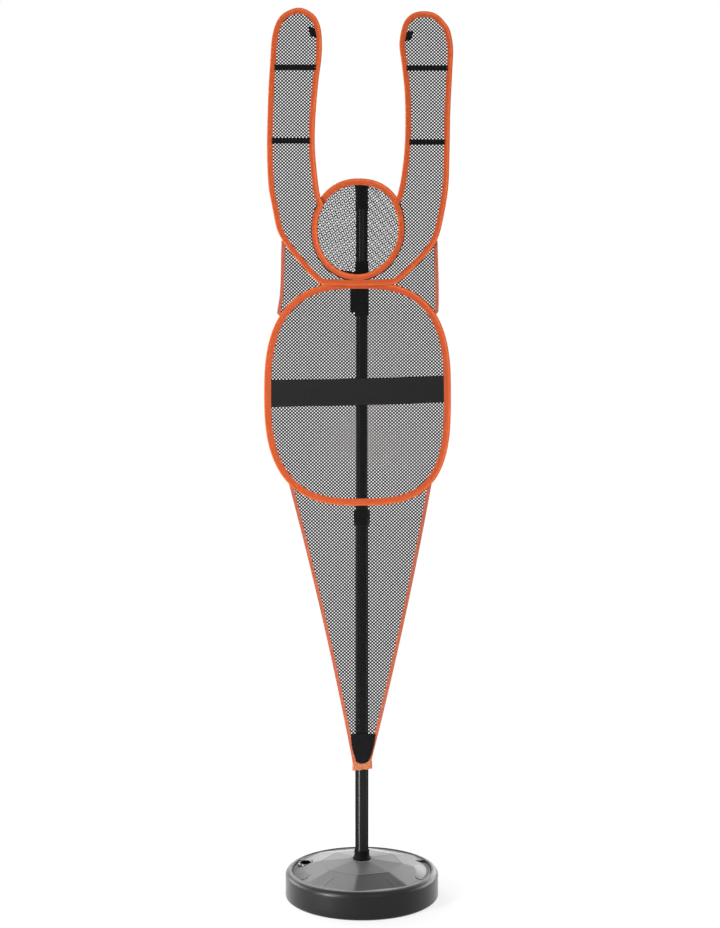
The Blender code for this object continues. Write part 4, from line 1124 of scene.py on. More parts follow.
def folded_profile(width, half_depth):
    """Tape folded round the wire: a round roll, then two flat legs sewn to the net."""
    mm = 0.001
    roll, thickness = half_depth + 0.1 * mm, 0.8 * mm
    groove = width - settings("tape").stitch_inset

    def roll_points(turns, depth):
        return [(roll + (roll - depth) * math.cos(a), (half_depth - depth) * math.sin(a))
                for a in map(math.radians, turns)]

    outer = roll_points((150, 120, 95, 75, 55), 0.0) + [
        (5.0 * mm, 1.68 * mm), (5.9 * mm, 1.34 * mm), (7.4 * mm, 1.24 * mm), (groove - 1.3 * mm, 1.2 * mm),
        (groove, 0.92 * mm), (groove + 1.2 * mm, 1.12 * mm), (width - 0.6 * mm, 1.1 * mm), (width, 0.85 * mm),
    ]
    inner = [(width, 0.34 * mm), (groove, 0.33 * mm), (6.2 * mm, 0.4 * mm), (4.9 * mm, 0.95 * mm)]
    leg = outer + inner + roll_points((60, 95, 130), thickness)
    return [(0.0, 0.0)] + leg + [(thickness, 0.0)] + [(u, -v) for u, v in reversed(leg)]


def build_hoops():
    inset = settings("tape").stitch_inset
    hoops = (
        ("torso", TORSO, ring_line(TORSO, TORSO_EXPONENTS), TORSO_BINDING),
        ("head", HEAD, ring_line(HEAD, HEAD_EXPONENTS, FINE_STEP), HEAD_BINDING),
        ("arms", ARMS, arms_line(), ARMS_BINDING),
    )
    for name, hoop, line, width in hoops:
        profile = folded_profile(width, hoop.half_depth)
        rail = upright_rail(line, hoop.plane)
        tape = swept(name + "_tape", rail, profile, "orange_binding", angle=CLOTH_SHARP)
        placed(tape, "upper_pole", name + "_binding")
        seam = inset_loop(line, width - inset)
        rows = [[(x, hoop.plane + side * 0.00095, z) for x, z in seam] for side in (-1, 1)]
        sewing = stitched(name + "_stitches", rows, "binding_thread")
        placed(sewing, "upper_pole", name + "_binding")
        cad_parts[name + "_wire"].data.materials[0] = finish("spring_wire")


# Nets


def add_net(name, outline, hoop, cad_node, pore=None):
    thing = add_object(name, net_mesh(name, outline, hoop.plane, pore))
    placed(thing, "upper_pole", cad_node)


def build_nets():
    net = settings("net")
    line = inset_loop(ring_line(TORSO, TORSO_EXPONENTS), NET_INSET)
    split = TORSO.z + NET_SPLIT
    for name, upper in (("torso_net_upper", True), ("torso_net_lower", False)):
        points = from_cut([p for p in line if (p[1] >= split) == upper])
        add_net(name, points, TORSO, "torso_mesh")
    head = inset_loop(ring_line(HEAD, HEAD_EXPONENTS), NET_INSET)
    add_net("head_net_front", head, HEAD, "head_mesh_front", net.head_pore)
    arms = inset_loop(arms_line(), ARMS_NET_INSET)
    add_net("arms_net", arms, ARMS, "arms_mesh", net.arm_pore)


def from_cut(points):
    """The half's line, started at the cut so that it closes along it."""
    spans = [math.dist(points[index - 1], point) for index, point in enumerate(points)]
    cut = spans.index(max(spans))
    return points[cut:] + points[:cut]


# Head hood


class Hood:
    """Rear net of the head: level rows run from the hoop round the back of the pole."""

    FLAT = 0.006  # width of the edge that lies flat on the hoop
    TURN = math.radians(72)  # where on the hoop the rows end and the roof begins
    FIRST = math.radians(-58)  # where on the hoop the edge starts at the chin
    INSET = 0.0035  # from the hoop's outline in to the edge

    def __init__(self):
        self.edge_y = HEAD.plane + 0.0020
        self.pole = radius_of("upper_tube") + 0.0032
        self.ridge = (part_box("head_mesh_back")[0].z + 0.0010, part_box("upper_tube")[1].z + 0.011)
        self.low = self.on_ring(self.FIRST)[1]
        self.high = self.on_ring(self.TURN)[1]
        self.rise = self.ridge[1] - self.ridge[0]
        self.roof = self.pole - self.edge_y
        self.arc = [self.on_ring(math.pi / 2 + (math.pi / 2 - self.TURN) * (1 - n / 8)) for n in range(17)]

    def on_ring(self, angle, inset=INSET):
        return superellipse(HEAD, HEAD_EXPONENTS, angle, inset)

    def ring_x(self, z, side):
        """X of the hood's edge at a height, side +1 right and -1 left."""
        offset = z - HEAD.z
        upper, lower = (0, 3) if side > 0 else (1, 2)
        exponent = HEAD_EXPONENTS[upper if offset > 0 else lower]
        share = edge_share(offset, HEAD.half_height - self.INSET, exponent)
        return HEAD.x + side * (HEAD.half_width - self.INSET) * share

    def row(self, share):
        """Points of one row from left to right, share 0 at the chin and 1 at the turn of the crown."""
        z_edge = self.low + (self.high - self.low) * share
        z_pole = self.ridge[0] + self.rise * share
        halves = []
        for side in (-1, 1):
            x = self.ring_x(z_edge, side)
            start = (x - side * self.FLAT, self.edge_y + 0.0004)
            reach = min(1.0, self.pole / math.hypot(*start))
            touch = math.atan2(start[1], side * start[0]) + math.acos(reach)
            arc = []
            for n in range(6):
                out, back = polar(self.pole, touch + (math.pi / 2 - touch) * n / 5)
                arc.append((side * out, back))
            free = [tuple(a + (b - a) * n / 6 for a, b in zip(start, arc[0])) for n in range(1, 6)]
            line = [(x, self.edge_y), start] + free + arc
            total = line_length(line)
            gone, half = 0.0, []
            for n, (x, y) in enumerate(line):
                if n:
                    gone += math.dist(line[n - 1], line[n])
                half.append(Vector((x, y, z_edge + (z_pole - z_edge) * (gone / total) ** 1.2)))
            halves.append(half)
        return halves[0] + halves[1][-2::-1]

    def place(self, across, up):
        """Point of the hood, across from -1 to 1 and up in metres from the chin."""
        if up <= self.rise:
            return self.walk(self.row(up / self.rise), across)
        share = min(1.0, (up - self.rise) / self.roof)
        back = self.walk(self.row(1.0), across)
        index = (across + 1) * 8
        first = min(15, max(0, int(index)))
        x, z = (a + (b - a) * (index - first) for a, b in zip(self.arc[first], self.arc[first + 1]))
        bulge = 0.004 * math.sin(math.pi * share) * (1 - across * across)
        return back.lerp(Vector((x, self.edge_y, z)), share) + Vector((0, bulge, bulge * 0.5))

    @staticmethod
    def walk(points, across):
        """Point part of the way along a row, across from -1 to 1."""
        lengths = [0.0]
        for a, b in zip(points, points[1:]):
            lengths.append(lengths[-1] + (b - a).length)
        goal = lengths[-1] * (across + 1) / 2
        for index in range(len(points) - 1):
            if goal <= lengths[index + 1] or index == len(points) - 2:
                share = (goal - lengths[index]) / max(lengths[index + 1] - lengths[index], 1e-9)
                return points[index].lerp(points[index + 1], share)

    def half_length(self, up):
        if up <= self.rise:
            points = self.row(up / self.rise)
            return sum((b - a).length for a, b in zip(points, points[1:])) / 2
        share = min(1.0, (up - self.rise) / self.roof)
        back = self.half_length(self.rise)
        return back + (line_length(self.arc) / 2 - back) * share


def hood_outline(hood, top):
    """The hood laid flat, as (across, up), and leant by the turn of its rows."""
    ups = [0.002 + (top - 0.002) * n / 60 for n in range(61)]
    right = [(hood.half_length(up) - 0.003, up) for up in ups]
    outline = right + [(-x, z) for x, z in right[::-1]]
    cosine, sine = polar(1.0, settings("net").hood_turn)
    return outline, [(x * cosine - z * sine, x * sine + z * cosine) for x, z in outline]


def build_hood():
    hood, net = Hood(), settings("net")
    top = hood.rise + hood.roof - 0.001
    outline, leant = hood_outline(hood, top)
    mesh = net_mesh("head_net_back", leant, 0.0, net.hood_pore)
    mesh.transform(Matrix.Rotation(net.hood_turn, 4, "Y"))
    known = {}

    def at(across, up):
        key = (round(across, 5), round(up, 5))
        if key not in known:
            up = max(0.0, up)
            known[key] = hood.place(max(-1.0, min(1.0, across / hood.half_length(up))), up)
        return known[key]

    for vert in mesh.vertices:
        across, off, up = vert.co
        middle = at(across, up)
        beside = at(across + (STEP if across < 0 else -STEP), up) - middle
        above = at(across, up + (STEP if up < top - 0.002 else -STEP)) - middle
        normal = beside.cross(above)
        if normal.length > 1e-12:
            normal.normalize()
            if normal.y < 0:
                normal.negate()
            middle = middle + normal * off
        vert.co = middle
    mesh.update()
    thing = placed(add_object("head_net_back", mesh), "upper_pole", "head_mesh_back")

    sweep = math.pi - 2 * hood.FIRST
    line = spaced([hood.on_ring(hood.FIRST + sweep * n / 90, 0.0060) for n in range(91)], FINE_STEP, False)
    rail = upright_rail(line, hood.edge_y, False)
    edging = swept("hood_edging", rail, flat_profile(0.0070, 0.0011), "webbing", False)
    seam = [(x, hood.edge_y + 0.0006, z) for x, z in inset_loop(line, 0.0012, False)]
    sewing = stitched("hood_stitches", [seam], "black_thread", closed=False)
    hem = swept("hood_hem", chin_rail(hood), flat_profile(0.0070, 0.0014), "webbing", False)
    for thing in (edging, sewing, hem):
        placed(thing, "upper_pole", "head_mesh_back")


def chin_rail(hood):
    """Rail along the hood's lower edge, its side upright."""
    chin = hood.row(0.0)
    path = []
    for a, b in zip(chin, chin[1:]):
        steps = max(1, round((b - a).length / 0.004))
        path += [a.lerp(b, n / steps) for n in range(steps)]
    path.append(chin[-1])
    rail = []
    for index, point in enumerate(path):
        along = path[min(index + 1, len(path) - 1)] - path[max(index - 1, 0)]
        out = Vector((along.y, -along.x, 0)).normalized()
        if out.y < 0:
            out.negate()
        rail.append((point + Vector((0, 0, 0.0025)), Vector((0, 0, 1)), out))
    return rail


# Shoulders and skirt


def flat_profile(width, depth):
    half, thick = width / 2, depth / 2
    edge = thick * 0.5
    face = [
        (half, 0), (half - edge * 0.4, thick * 0.7), (half - edge, thick), (half * 0.4, thick * 0.94),
        (-half * 0.4, thick), (edge - half, thick), (edge * 0.4 - half, thick * 0.7),
    ]
    return face + [(-u, -v) for u, v in face]


def side_tape(name, line):
    """Narrow folded tape down a free edge, with its rows of stitches."""
    thickness = 0.0021
    line = spaced(line, LINE_STEP, False)
    rail = upright_rail(line, TORSO.plane, False)
    tape = swept(name, rail, flat_profile(SIDE_TAPE, thickness), "side_binding", False)
    rows = [[(x, TORSO.plane + side * thickness / 2, z) for x, z in line] for side in (-1, 1)]
    return tape, stitched(name + "_stitches", rows, "binding_thread", 0.00026, closed=False)


def build_shoulders():
    arms = arms_line()
    for name, side, arm_x, inset in (("left", -1, -0.184, 0.0310), ("right", 1, 0.191, 0.0300)):
        start = HEAD.x + arm_x
        end = TORSO.x + side * (TORSO.half_width - inset)
        foot = torso_edge_z(end - side * SIDE_TAPE, 1) + 0.002
        edge = [(start, NECK_Z - 0.024), (start + side * 0.003, NECK_Z - 0.140), (end, foot)]
        middle = [(x - side * SIDE_TAPE / 2, z) for x, z in curve_through(edge, 12)]
        foot_x, foot_z = middle[-1]
        middle.append((foot_x - side * 0.0040, foot_z - 0.0035))
        for thing in side_tape("shoulder_tape_" + name, middle):
            placed(thing, "upper_pole", "shoulder_binding_" + name)

        # Between the arms' edge above and the torso's below, from the head's side out to the tape
        reach = HEAD.x + side * 0.080
        upper = [
            p for p in inset_loop(arms, 0.007)
            if p[1] < NECK_Z - 0.026 and side * (p[0] - reach) > 0
            and side * (p[0] - middle[0][0]) < 0 and math.dist(p, (HEAD.x, NECK_Z)) > 0.132]
        upper.sort(key=lambda p: -side * p[0])
        xs = [reach + (end - side * SIDE_TAPE * 0.5 - reach) * n / 24 for n in range(25)]
        lower = [(x, torso_edge_z(x, 1) - NET_OVERLAP) for x in xs]
        rim = [p for p in middle[::-1] if lower[-1][1] + 0.002 < p[1] < upper[0][1]]
        add_net("shoulder_net_" + name, upper + lower + rim, TORSO, "shoulder_mesh_" + name)

        rail = upright_rail(spaced(upper, FINE_STEP, False), TORSO.plane + 0.0006, False)
        edging = swept("shoulder_edging_" + name, rail, flat_profile(0.0085, 0.0012), "webbing", False)
        placed(edging, "upper_pole", "shoulder_mesh_" + name)


def skirt_line(side, top, bottom):
    """Middle of the skirt's side tape, from the torso hoop down to the hem."""
    start = TORSO.x + side * TORSO.half_width * edge_share(
        top - TORSO.z, TORSO.half_height, TORSO_EXPONENTS[3 if side > 0 else 2])
    half = radius_of("hem_loop")
    line = []
    for index in range(-1, 41):
        t = index / 40
        x = start + (side * half - start) * t + SKIRT_BOW * 4 * t * (1 - t)
        line.append((x - side * SIDE_TAPE / 2, top + (bottom - top) * t))
    return line


def build_skirt():
    top, bottom = TORSO.z + SKIRT_TOP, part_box("hem_loop")[1].z
    lines = {side: skirt_line(side, top, bottom) for side in (-1, 1)}

    def hung(thing, cad_node):
        """The piece keeps its baked place, from the figure down to the hem, and its node is hidden."""
        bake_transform(thing)
        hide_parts(cad_node)

    for name, side in (("left", -1), ("right", 1)):
        line = lines[side] + [(lines[side][-1][0], bottom - 0.004)]
        for thing in side_tape("skirt_tape_" + name, line):
            hung(thing, "skirt_binding_" + name)

    left, right = lines[-1][1:], lines[1][1:]
    xs = [right[0][0] + (left[0][0] - right[0][0]) * n / 40 for n in range(41)]
    crest = [(x, torso_edge_z(x, -1) + NET_OVERLAP) for x in xs]
    foot = [(left[-1][0], bottom - 0.006), (right[-1][0], bottom - 0.006)]
    outline = left + foot + right[::-1] + crest
    thing = add_object("skirt_net", net_mesh("skirt_net", outline, TORSO.plane))
    hung(thing, "skirt_mesh")
    build_hem()


def pole_loop(radius, half_width, front):
    """Level line round the pole with a flat front, counterclockwise from above."""
    corner = 0.002
    points = [polar(radius, math.pi * n / 24) for n in range(25)]
    for middle_x, start in ((corner - half_width, math.pi), (half_width - corner, 1.5 * math.pi)):
        for n in range(5):
            out, up = polar(corner, start + math.pi / 2 * n / 4)
            points.append((middle_x + out, front + corner + up))
    return spaced(points, 0.0022)


def build_hem():
    low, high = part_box("hem_loop")
    half_width = radius_of("hem_loop") - 0.0008
    line = pole_loop(radius_of("lower_tube") + 0.0017, half_width, TORSO.plane - 0.0001)

    def rise(x, y):
        """Rise of the hem towards the right, with its gathers, less at the back."""
        share = max(-1.0, min(1.0, x / high.x))
        gathers = 0.0007 * math.sin(8.0 * share + 0.6) + 0.0004 * math.sin(19.0 * share)
        return (1.0 if y < 0 else 0.3) * (0.0024 * share + gathers)

    rail = []
    for place, side, up in hanging_rail(line, (low.z + high.z) / 2):
        swell = 0.0022 * ridge(place.x - high.x, 0.004) if place.y < 0 else 0.0
        rail.append((place + Vector((swell, 0, rise(place.x, place.y))), side, up))
    half = (high.z - low.z) / 2 - 0.0014
    profile = [
        (0.0009, half - 0.0008), (0.0005, half), (-0.0005, half), (-0.0010, half - 0.0006),
        (-0.0012, half - 0.003), (-0.0009, half - 0.0048), (-0.0012, half - 0.0065), (-0.0013, 0.0),
        (-0.0012, 0.0055 - half), (-0.0009, 0.0042 - half), (-0.0012, 0.0028 - half),
        (-0.0010, 0.0006 - half), (-0.0005, -half), (0.0005, -half), (0.0009, 0.0008 - half),
    ]
    band = swept("hem_band", rail, profile, "hem_band", angle=CLOTH_SHARP)
    seam = inset_loop(line, -0.00105)
    rows = [[(x, y, z + rise(x, y)) for x, y in seam] for z in (high.z - 0.0062, low.z + 0.0056)]
    for thing in (band, stitched("hem_stitches", rows, "binding_thread", 0.00026)):
        placed(thing, "hem", "hem_loop")
    build_foot_patch(low.z)


def sheet_piece(name, outline, plane, material):
    """Flat cloth piece with soft edges, cut to an outline."""
    work = bmesh.new()
    chart = work.loops.layers.uv.new("cloth")
    face = work.faces.new([work.verts.new((x, plane + PATCH_THICKNESS / 2, z)) for x, z in outline])
    top = bmesh.ops.extrude_face_region(work, geom=[face])
    verts = [item for item in top["geom"] if isinstance(item, bmesh.types.BMVert)]
    bmesh.ops.translate(work, verts=verts, vec=(0, -PATCH_THICKNESS, 0))
    bmesh.ops.recalc_face_normals(work, faces=work.faces)
    for face in work.faces:
        for loop in face.loops:
            loop[chart].uv = (loop.vert.co.x, loop.vert.co.z)
    thing = add_object(name, smooth_mesh(name, work), material)
    rounded(thing, 0.0004, math.radians(50))
    return thing


def build_foot_patch(hem_bottom):
    line = curve_through(FOOT_PATCH, 6)
    outline = [(x, hem_bottom + z) for x, z in line]
    low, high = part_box("foot_patch")
    plane = (low.y + high.y) / 2
    patch = sheet_piece("foot_cloth", outline, plane, "patch_cloth")
    seam = [(x, plane - 0.00065, z) for x, z in inset_loop(outline, 0.0022)]
    sewing = stitched("foot_stitches", [seam], "black_thread", 0.00022, 0.0023, step=0.0034)
    for thing in (patch, sewing):
        placed(thing, "hem", "foot_patch")


# Straps, pocket and bands


def strap_profile(half_height, thickness):
    """Webbing on edge, with a groove near both edges of its outer face."""
    t, h = thickness / 2, half_height
    upper = [(t, h - 0.0006), (t * 0.5, h), (-t * 0.5, h), (-t, h - 0.0006), (-t, h - 0.0026),
             (-t * 0.85, h - 0.0034), (-t, h - 0.0042)]
    return upper + [(-t, 0)] + [(u, -v) for u, v in reversed(upper)]


def build_straps():
    tube = radius_of("upper_tube")
    for name, cad_node in (("chin_strap", "head_strap"), ("chest_strap", "torso_top_strap")):
        low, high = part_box(cad_node)
        half_width, half, middle = tube + 0.0011, (high.z - low.z) / 2, (low.z + high.z) / 2
        line = pole_loop(half_width, half_width, low.y + 0.0008)
        profile = strap_profile(half, 0.0014)
        things = [swept(name, hanging_rail(line, middle), profile, "webbing", angle=CLOTH_SHARP)]
        if name == "chest_strap":
            tail = [(-half_width + 0.004, low.y + 0.0006), (-half_width - 0.004, low.y + 0.0006),
                    (low.x + 0.0004, low.y + 0.0009)]
            rail = hanging_rail(spaced(curve_through(tail, 6), 0.0015, False), middle + 0.001, False)
            profile = strap_profile(half - 0.0055, 0.0012)
            things.append(swept("chest_strap_end", rail, profile, "webbing", False, CLOTH_SHARP))
        seam = inset_loop(line, -0.0007)
        rows = [[(x, y, z) for x, y in seam] for z in (high.z - 0.0034, low.z + 0.0034)]
        things.append(stitched(name + "_stitches", rows, "black_thread", 0.00024))
        for thing in things:
            placed(thing, "upper_pole", cad_node)
    build_pocket(tube)


def build_pocket(tube):
    """Sleeve over the pole's top, closed above into a flat sewn tongue."""
    low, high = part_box("head_pocket")
    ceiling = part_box("top_cap")[1].z + 0.0005
    inner, wall = tube + 0.0006, tube + 0.0012
    front = low.y + 0.0012
    # Sections as height, half width, half depth and middle
    sections = [(ceiling - 0.0002, inner, inner, 0.0), (low.z + 0.0003, inner, inner, 0.0),
                (low.z, inner + 0.0003, inner + 0.0003, 0.0)]
    for n in range(15):
        z = low.z + 0.0006 + (ceiling - 0.006 - low.z) * n / 14
        swell = 0.0003 * math.sin(2.6 * n) + (0.0003 if n == 1 else 0.0)
        sections.append((z, wall + swell * 0.5, wall + swell, 0.0))
    sections += [
        (ceiling - 0.003, wall + 0.0003, wall + 0.0002, 0.0),
        (ceiling + 0.0002, wall + 0.0010, wall - 0.0012, -0.0008),
        (ceiling + 0.0018, wall + 0.0016, wall - 0.0040, -0.0040),
        (ceiling + 0.0030, wall + 0.0022, wall - 0.0075, -0.0085),
        (ceiling + 0.0040, wall + 0.0026, 0.0030, -0.0150),
        (high.z, wall + 0.0028, 0.0011, front + 0.0004),
    ]
    rings = []
    for number, (z, half_width, half_depth, middle) in enumerate(sections):
        ring = []
        for index in range(64):
            angle = math.tau * index / 64
            ruck = 1 + (0.012 * math.sin(5 * angle + 1.3 * number) if 4 < number < 17 else 0.0)
            x, y = half_width * ruck * math.cos(angle), half_depth * ruck * math.sin(angle)
            ring.append((x, middle + y, z))
        rings.append(ring)
    pocket = lofted("pocket_sleeve", rings, "pocket_cloth", angle=CLOTH_SHARP)
    circle = [polar(wall + 0.0001, math.tau * n / 48) for n in range(48)]
    rows = [[(x, y, low.z + rise) for x, y in circle] for rise in (0.004, 0.0065)]
    for thing in (pocket, stitched("pocket_stitches", rows, "black_thread", 0.00022)):
        placed(thing, "upper_pole", "head_pocket")


def level_band(name, ends, height, plane, thickness, material, middle_z, spans):
    """Band of cloth that runs across, its middle at middle_z(x)."""
    rail = []
    for n in range(spans + 1):
        x = ends[0] + (ends[1] - ends[0]) * n / spans
        slope = (middle_z(x + STEP) - middle_z(x - STEP)) / (2 * STEP)
        up = Vector((-slope, 0, 1)).normalized()
        rail.append((Vector((x, plane, middle_z(x))), up, Vector((0, -1, 0))))
    h, t = height / 2, thickness / 2
    upper = [(h - 0.0002, -t), (h, 0), (h - 0.0002, t), (h - 0.0052, t), (h - 0.0060, t * 0.6)]
    profile = upper + [(0, t * 0.6)] + [(-u, v) for u, v in reversed(upper)]
    return swept(name, rail, profile, material, False, CLOTH_SHARP)


def build_bands():
    low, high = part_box("chest_band")
    middle, reach = (low.z + high.z) / 2, (high.x - low.x) / 2
    sag, tilt, thickness = settings("fabric").band_sag, 0.0051, 0.0006
    ends = (TORSO.x - reach - 0.006, TORSO.x + reach + 0.006)
    height = high.z - low.z - 2 * tilt

    def band_z(x):
        share = (x - TORSO.x) / reach
        return middle + tilt * share - sag * (1 - share * share) + 0.0004 * math.sin(9 * share + 1)

    plane = TORSO.plane - 0.00065
    band = level_band("chest_cloth", ends, height, plane, thickness, "band_cloth", band_z, 96)
    placed(band, "upper_pole", "chest_band")
    xs = [ends[0] + (ends[1] - ends[0]) * n / 60 for n in range(61)]
    rows = [[(x, plane - thickness / 2, band_z(x) + shift) for x in xs]
            for shift in (height / 2 - 0.0048, 0.0048 - height / 2)]
    sewing = stitched("chest_stitches", rows, "black_thread", 0.00022, closed=False)
    placed(sewing, "upper_pole", "chest_band")

    for arm, side in (("left", 1), ("right", -1)):
        for level in ("upper", "lower"):
            low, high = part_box(f"arm_band_{arm}_{level}")
            z = (low.z + high.z) / 2
            strip = level_band(f"arm_webbing_{arm}_{level}", (low.x - 0.004, high.x + 0.004), high.z - low.z,
                               ARMS.plane - 0.0008, 0.0010, "webbing", lambda x: z, 24)
            placed(strip, "upper_pole", f"arm_band_{arm}_{level}")
        build_hand_tab(arm, side)


def build_hand_tab(arm, side):
    """Small skewed tab near the end of an arm, side +1 left and -1 right."""
    low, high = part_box("hand_tab_" + arm)
    cosine, sine = polar(1.0, math.radians(13) * side)
    x, z = (low.x + high.x) / 2 + side * 0.0015, (low.z + high.z) / 2
    corners = []
    for u, v in ((-1, -1), (1, -1), (1, 1), (-1, 1)):
        a, b = u * 0.0082, v * 0.0118
        corners.append((x + a * cosine - b * sine, z + b * cosine - a * sine))
    tab = sheet_piece("hand_webbing_" + arm, corners, ARMS.plane - 0.0009, "webbing")
    placed(tab, "upper_pole", "hand_tab_" + arm)




# Stage


def seen_rays(tree):
    """1 for the camera's rays and those that metal or clear parts send on, else 0."""
    path = node(tree, "ShaderNodeLightPath").outputs
    seen = maths(tree, "MAXIMUM", path["Is Camera Ray"], path["Is Transmission Ray"])
    return maths(tree, "MAXIMUM", seen, path["Is Glossy Ray"])


def build_floor(colour):
    """Plain floor that takes a soft shadow near the base and is white farther out."""
    work = bmesh.new()
    bmesh.ops.create_grid(work, x_segments=4, y_segments=4, size=14.0)
    floor = add_object("floor", mesh_of("floor", work))
    floor.location.z = -0.0004
    material, tree, shader = blank_material("floor")
    fill_inputs(tree, shader, {"Base Color": (*colour, 1), "Roughness": 0.9, "Specular IOR Level": 0.0})
    away = node(tree, "ShaderNodeVectorMath", {0: object_place(tree)}, operation="LENGTH").outputs["Value"]
    fade = ranged(tree, away, 0.7, 1.0, 0.3, 0.9)
    white = node(tree, "ShaderNodeEmission", {"Color": (1, 1, 1, 1), "Strength": 1.0})
    lift = node(tree, "ShaderNodeMixShader", {
        0: maths(tree, "MULTIPLY", seen_rays(tree), fade), 1: shader.outputs[0], 2: white.outputs[0]})
    tree.links.new(lift.outputs[0], tree.nodes["Material Output"].inputs["Surface"])
    floor.data.materials.append(material)


def build_stage():
    scene = bpy.context.scene
    stage = settings("stage")
    camera = bpy.data.objects.new("camera", bpy.data.cameras.new("camera"))
    scene.collection.objects.link(camera)
    camera.location = (-0.0044, -3.10, 1.041)
    camera.rotation_euler = (math.pi / 2, 0, 0)
    camera.data.sensor_width = 36.0
    camera.data.lens = 49.69
    scene.camera = camera
    scene.view_settings.view_transform = "Standard"

    world = bpy.data.worlds.new("room")
    scene.world = world
    world.use_nodes = True
    tree = world.node_tree
    fill_inputs(tree, tree.nodes["Background"], {
        "Color": (1, 1, 1, 1), "Strength": ranged(tree, seen_rays(tree), stage.sky, 1.0)})
    build_floor(stage.floor_colour)

    # Name, power, place, target and size of each soft lamp
    lamps = (
        ("key", stage.key, (-1.80, -1.74, 1.15), (0.0, 0.0, 1.0), (0.45, 2.2)),
        ("front", stage.key * 0.3, (1.2, -3.2, 2.6), (0.0, 0.0, 1.0), (1.6, 1.6)),
        ("rear left", stage.rear, (-1.20, 2.5, 2.3), (0.0, 0.0, 0.3), (2.0, 1.5)),
        ("rear right", stage.rear * 0.85, (1.6, 2.5, 1.1), (0.0, 0.0, 0.3), (2.2, 1.4)),
        ("left", stage.side, (-2.1, 0.8, 0.5), (0.0, 0.0, 0.1), (1.6, 0.9)),
        ("right", stage.side, (2.1, 0.8, 0.5), (0.0, 0.0, 0.1), (1.6, 0.9)),
        ("low", stage.key * 0.06, (-0.54, -0.52, 0.11), (0.0, 0.0, 0.11), (0.08, 0.18)),
    )
    for name, power, place, target, size in lamps:
        data = bpy.data.lights.new(name, "AREA")
        data.shape = "RECTANGLE"
        data.size, data.size_y = size
        data.energy = power
        lamp = bpy.data.objects.new(name, data)
        lamp.location = place
        lamp.rotation_euler = (Vector(place) - Vector(target)).to_track_quat("Z", "Y").to_euler()
        lamp.visible_camera = False
        scene.collection.objects.link(lamp)


# Add-on


class MANNEQUIN_OT_stage(bpy.types.Operator):
    """Make the camera, the lamps, the room light and the floor"""

    bl_idname = "mannequin.stage"
    bl_label = "Stage"

    def execute(self, context):
        build_stage()
        return {"FINISHED"}


class MANNEQUIN_OT_base(bpy.types.Operator):
    """Make the fillable tank, its screw plug and the pole's collar"""

    bl_idname = "mannequin.base"
    bl_label = "Base"

    def execute(self, context):
        build_base()
        return {"FINISHED"}


class MANNEQUIN_OT_pole(bpy.types.Operator):
    """Make the two tubes and the twist lock between them"""

    bl_idname = "mannequin.pole"
    bl_label = "Pole"

    def execute(self, context):
        build_pole()
        return {"FINISHED"}


class MANNEQUIN_OT_hoops(bpy.types.Operator):
    """Make the folded bindings of the torso, head and arms, with their stitches"""

    bl_idname = "mannequin.hoops"
    bl_label = "Hoops"

    def execute(self, context):
        build_hoops()
        return {"FINISHED"}


class MANNEQUIN_OT_nets(bpy.types.Operator):
    """Make the perforated nets that the three hoops stretch"""

    bl_idname = "mannequin.nets"
    bl_label = "Hoop Nets"

    def execute(self, context):
        build_nets()
        return {"FINISHED"}


class MANNEQUIN_OT_hood(bpy.types.Operator):
    """Make the head's rear net, drawn round the back of the pole"""

    bl_idname = "mannequin.hood"
    bl_label = "Head Hood"

    def execute(self, context):
        build_hood()
        return {"FINISHED"}


class MANNEQUIN_OT_shoulders(bpy.types.Operator):
    """Make the net gussets at the shoulders, with their side tapes"""

    bl_idname = "mannequin.shoulders"
    bl_label = "Shoulders"

    def execute(self, context):
        build_shoulders()
        return {"FINISHED"}


class MANNEQUIN_OT_skirt(bpy.types.Operator):
    """Make the tapering skirt, its side tapes, the hem band and the foot patch"""

    bl_idname = "mannequin.skirt"
    bl_label = "Skirt"

    def execute(self, context):
        build_skirt()
        return {"FINISHED"}


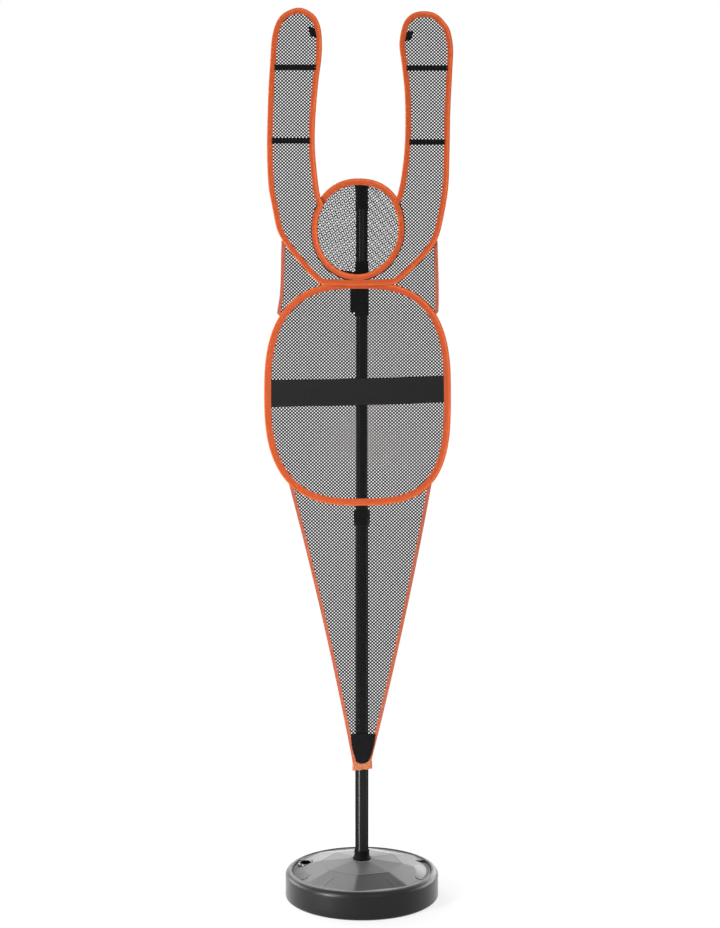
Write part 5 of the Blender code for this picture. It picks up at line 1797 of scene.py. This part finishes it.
class MANNEQUIN_OT_straps(bpy.types.Operator):
    """Make the straps round the pole and the pocket over its top"""

    bl_idname = "mannequin.straps"
    bl_label = "Straps and Pocket"

    def execute(self, context):
        build_straps()
        return {"FINISHED"}


class MANNEQUIN_OT_bands(bpy.types.Operator):
    """Make the bare chest band, the bands across the arms and the hand tabs"""

    bl_idname = "mannequin.bands"
    bl_label = "Bands"

    def execute(self, context):
        build_bands()
        return {"FINISHED"}


PIECES = (
    MANNEQUIN_OT_stage, MANNEQUIN_OT_base, MANNEQUIN_OT_pole, MANNEQUIN_OT_hoops, MANNEQUIN_OT_nets,
    MANNEQUIN_OT_hood, MANNEQUIN_OT_shoulders, MANNEQUIN_OT_skirt, MANNEQUIN_OT_straps, MANNEQUIN_OT_bands,
)
SETTINGS = {
    "net": NetSettings, "tape": TapeSettings, "fabric": FabricSettings, "base": BaseSettings,
    "pole": PoleSettings, "stage": StageSettings,
}


class MANNEQUIN_PT_panel(bpy.types.Panel):
    """Sizes and colours of the mannequin, and the operators that make it"""

    bl_label = "Defensive Mannequin"
    bl_space_type = "VIEW_3D"
    bl_region_type = "UI"
    bl_category = "Mannequin"

    def draw(self, context):
        layout = self.layout
        for piece in PIECES:
            layout.operator(piece.bl_idname)
        for name, group in SETTINGS.items():
            box = layout.box()
            box.label(text=name.capitalize())
            for field in group.__annotations__:
                box.prop(getattr(context.scene, "mannequin_" + name), field)


def register():
    for group in SETTINGS.values():
        bpy.utils.register_class(group)
    for name, group in SETTINGS.items():
        setattr(bpy.types.Scene, "mannequin_" + name, PointerProperty(type=group))
    for piece in PIECES:
        bpy.utils.register_class(piece)
    bpy.utils.register_class(MANNEQUIN_PT_panel)


def unregister():
    bpy.utils.unregister_class(MANNEQUIN_PT_panel)
    for piece in reversed(PIECES):
        bpy.utils.unregister_class(piece)
    for name in SETTINGS:
        delattr(bpy.types.Scene, "mannequin_" + name)
    for group in reversed(list(SETTINGS.values())):
        bpy.utils.unregister_class(group)


def main():
    register()
    for piece in PIECES:
        family, name = piece.bl_idname.split(".")
        getattr(getattr(bpy.ops, family), name)()


if __name__ == "__main__":
    main()
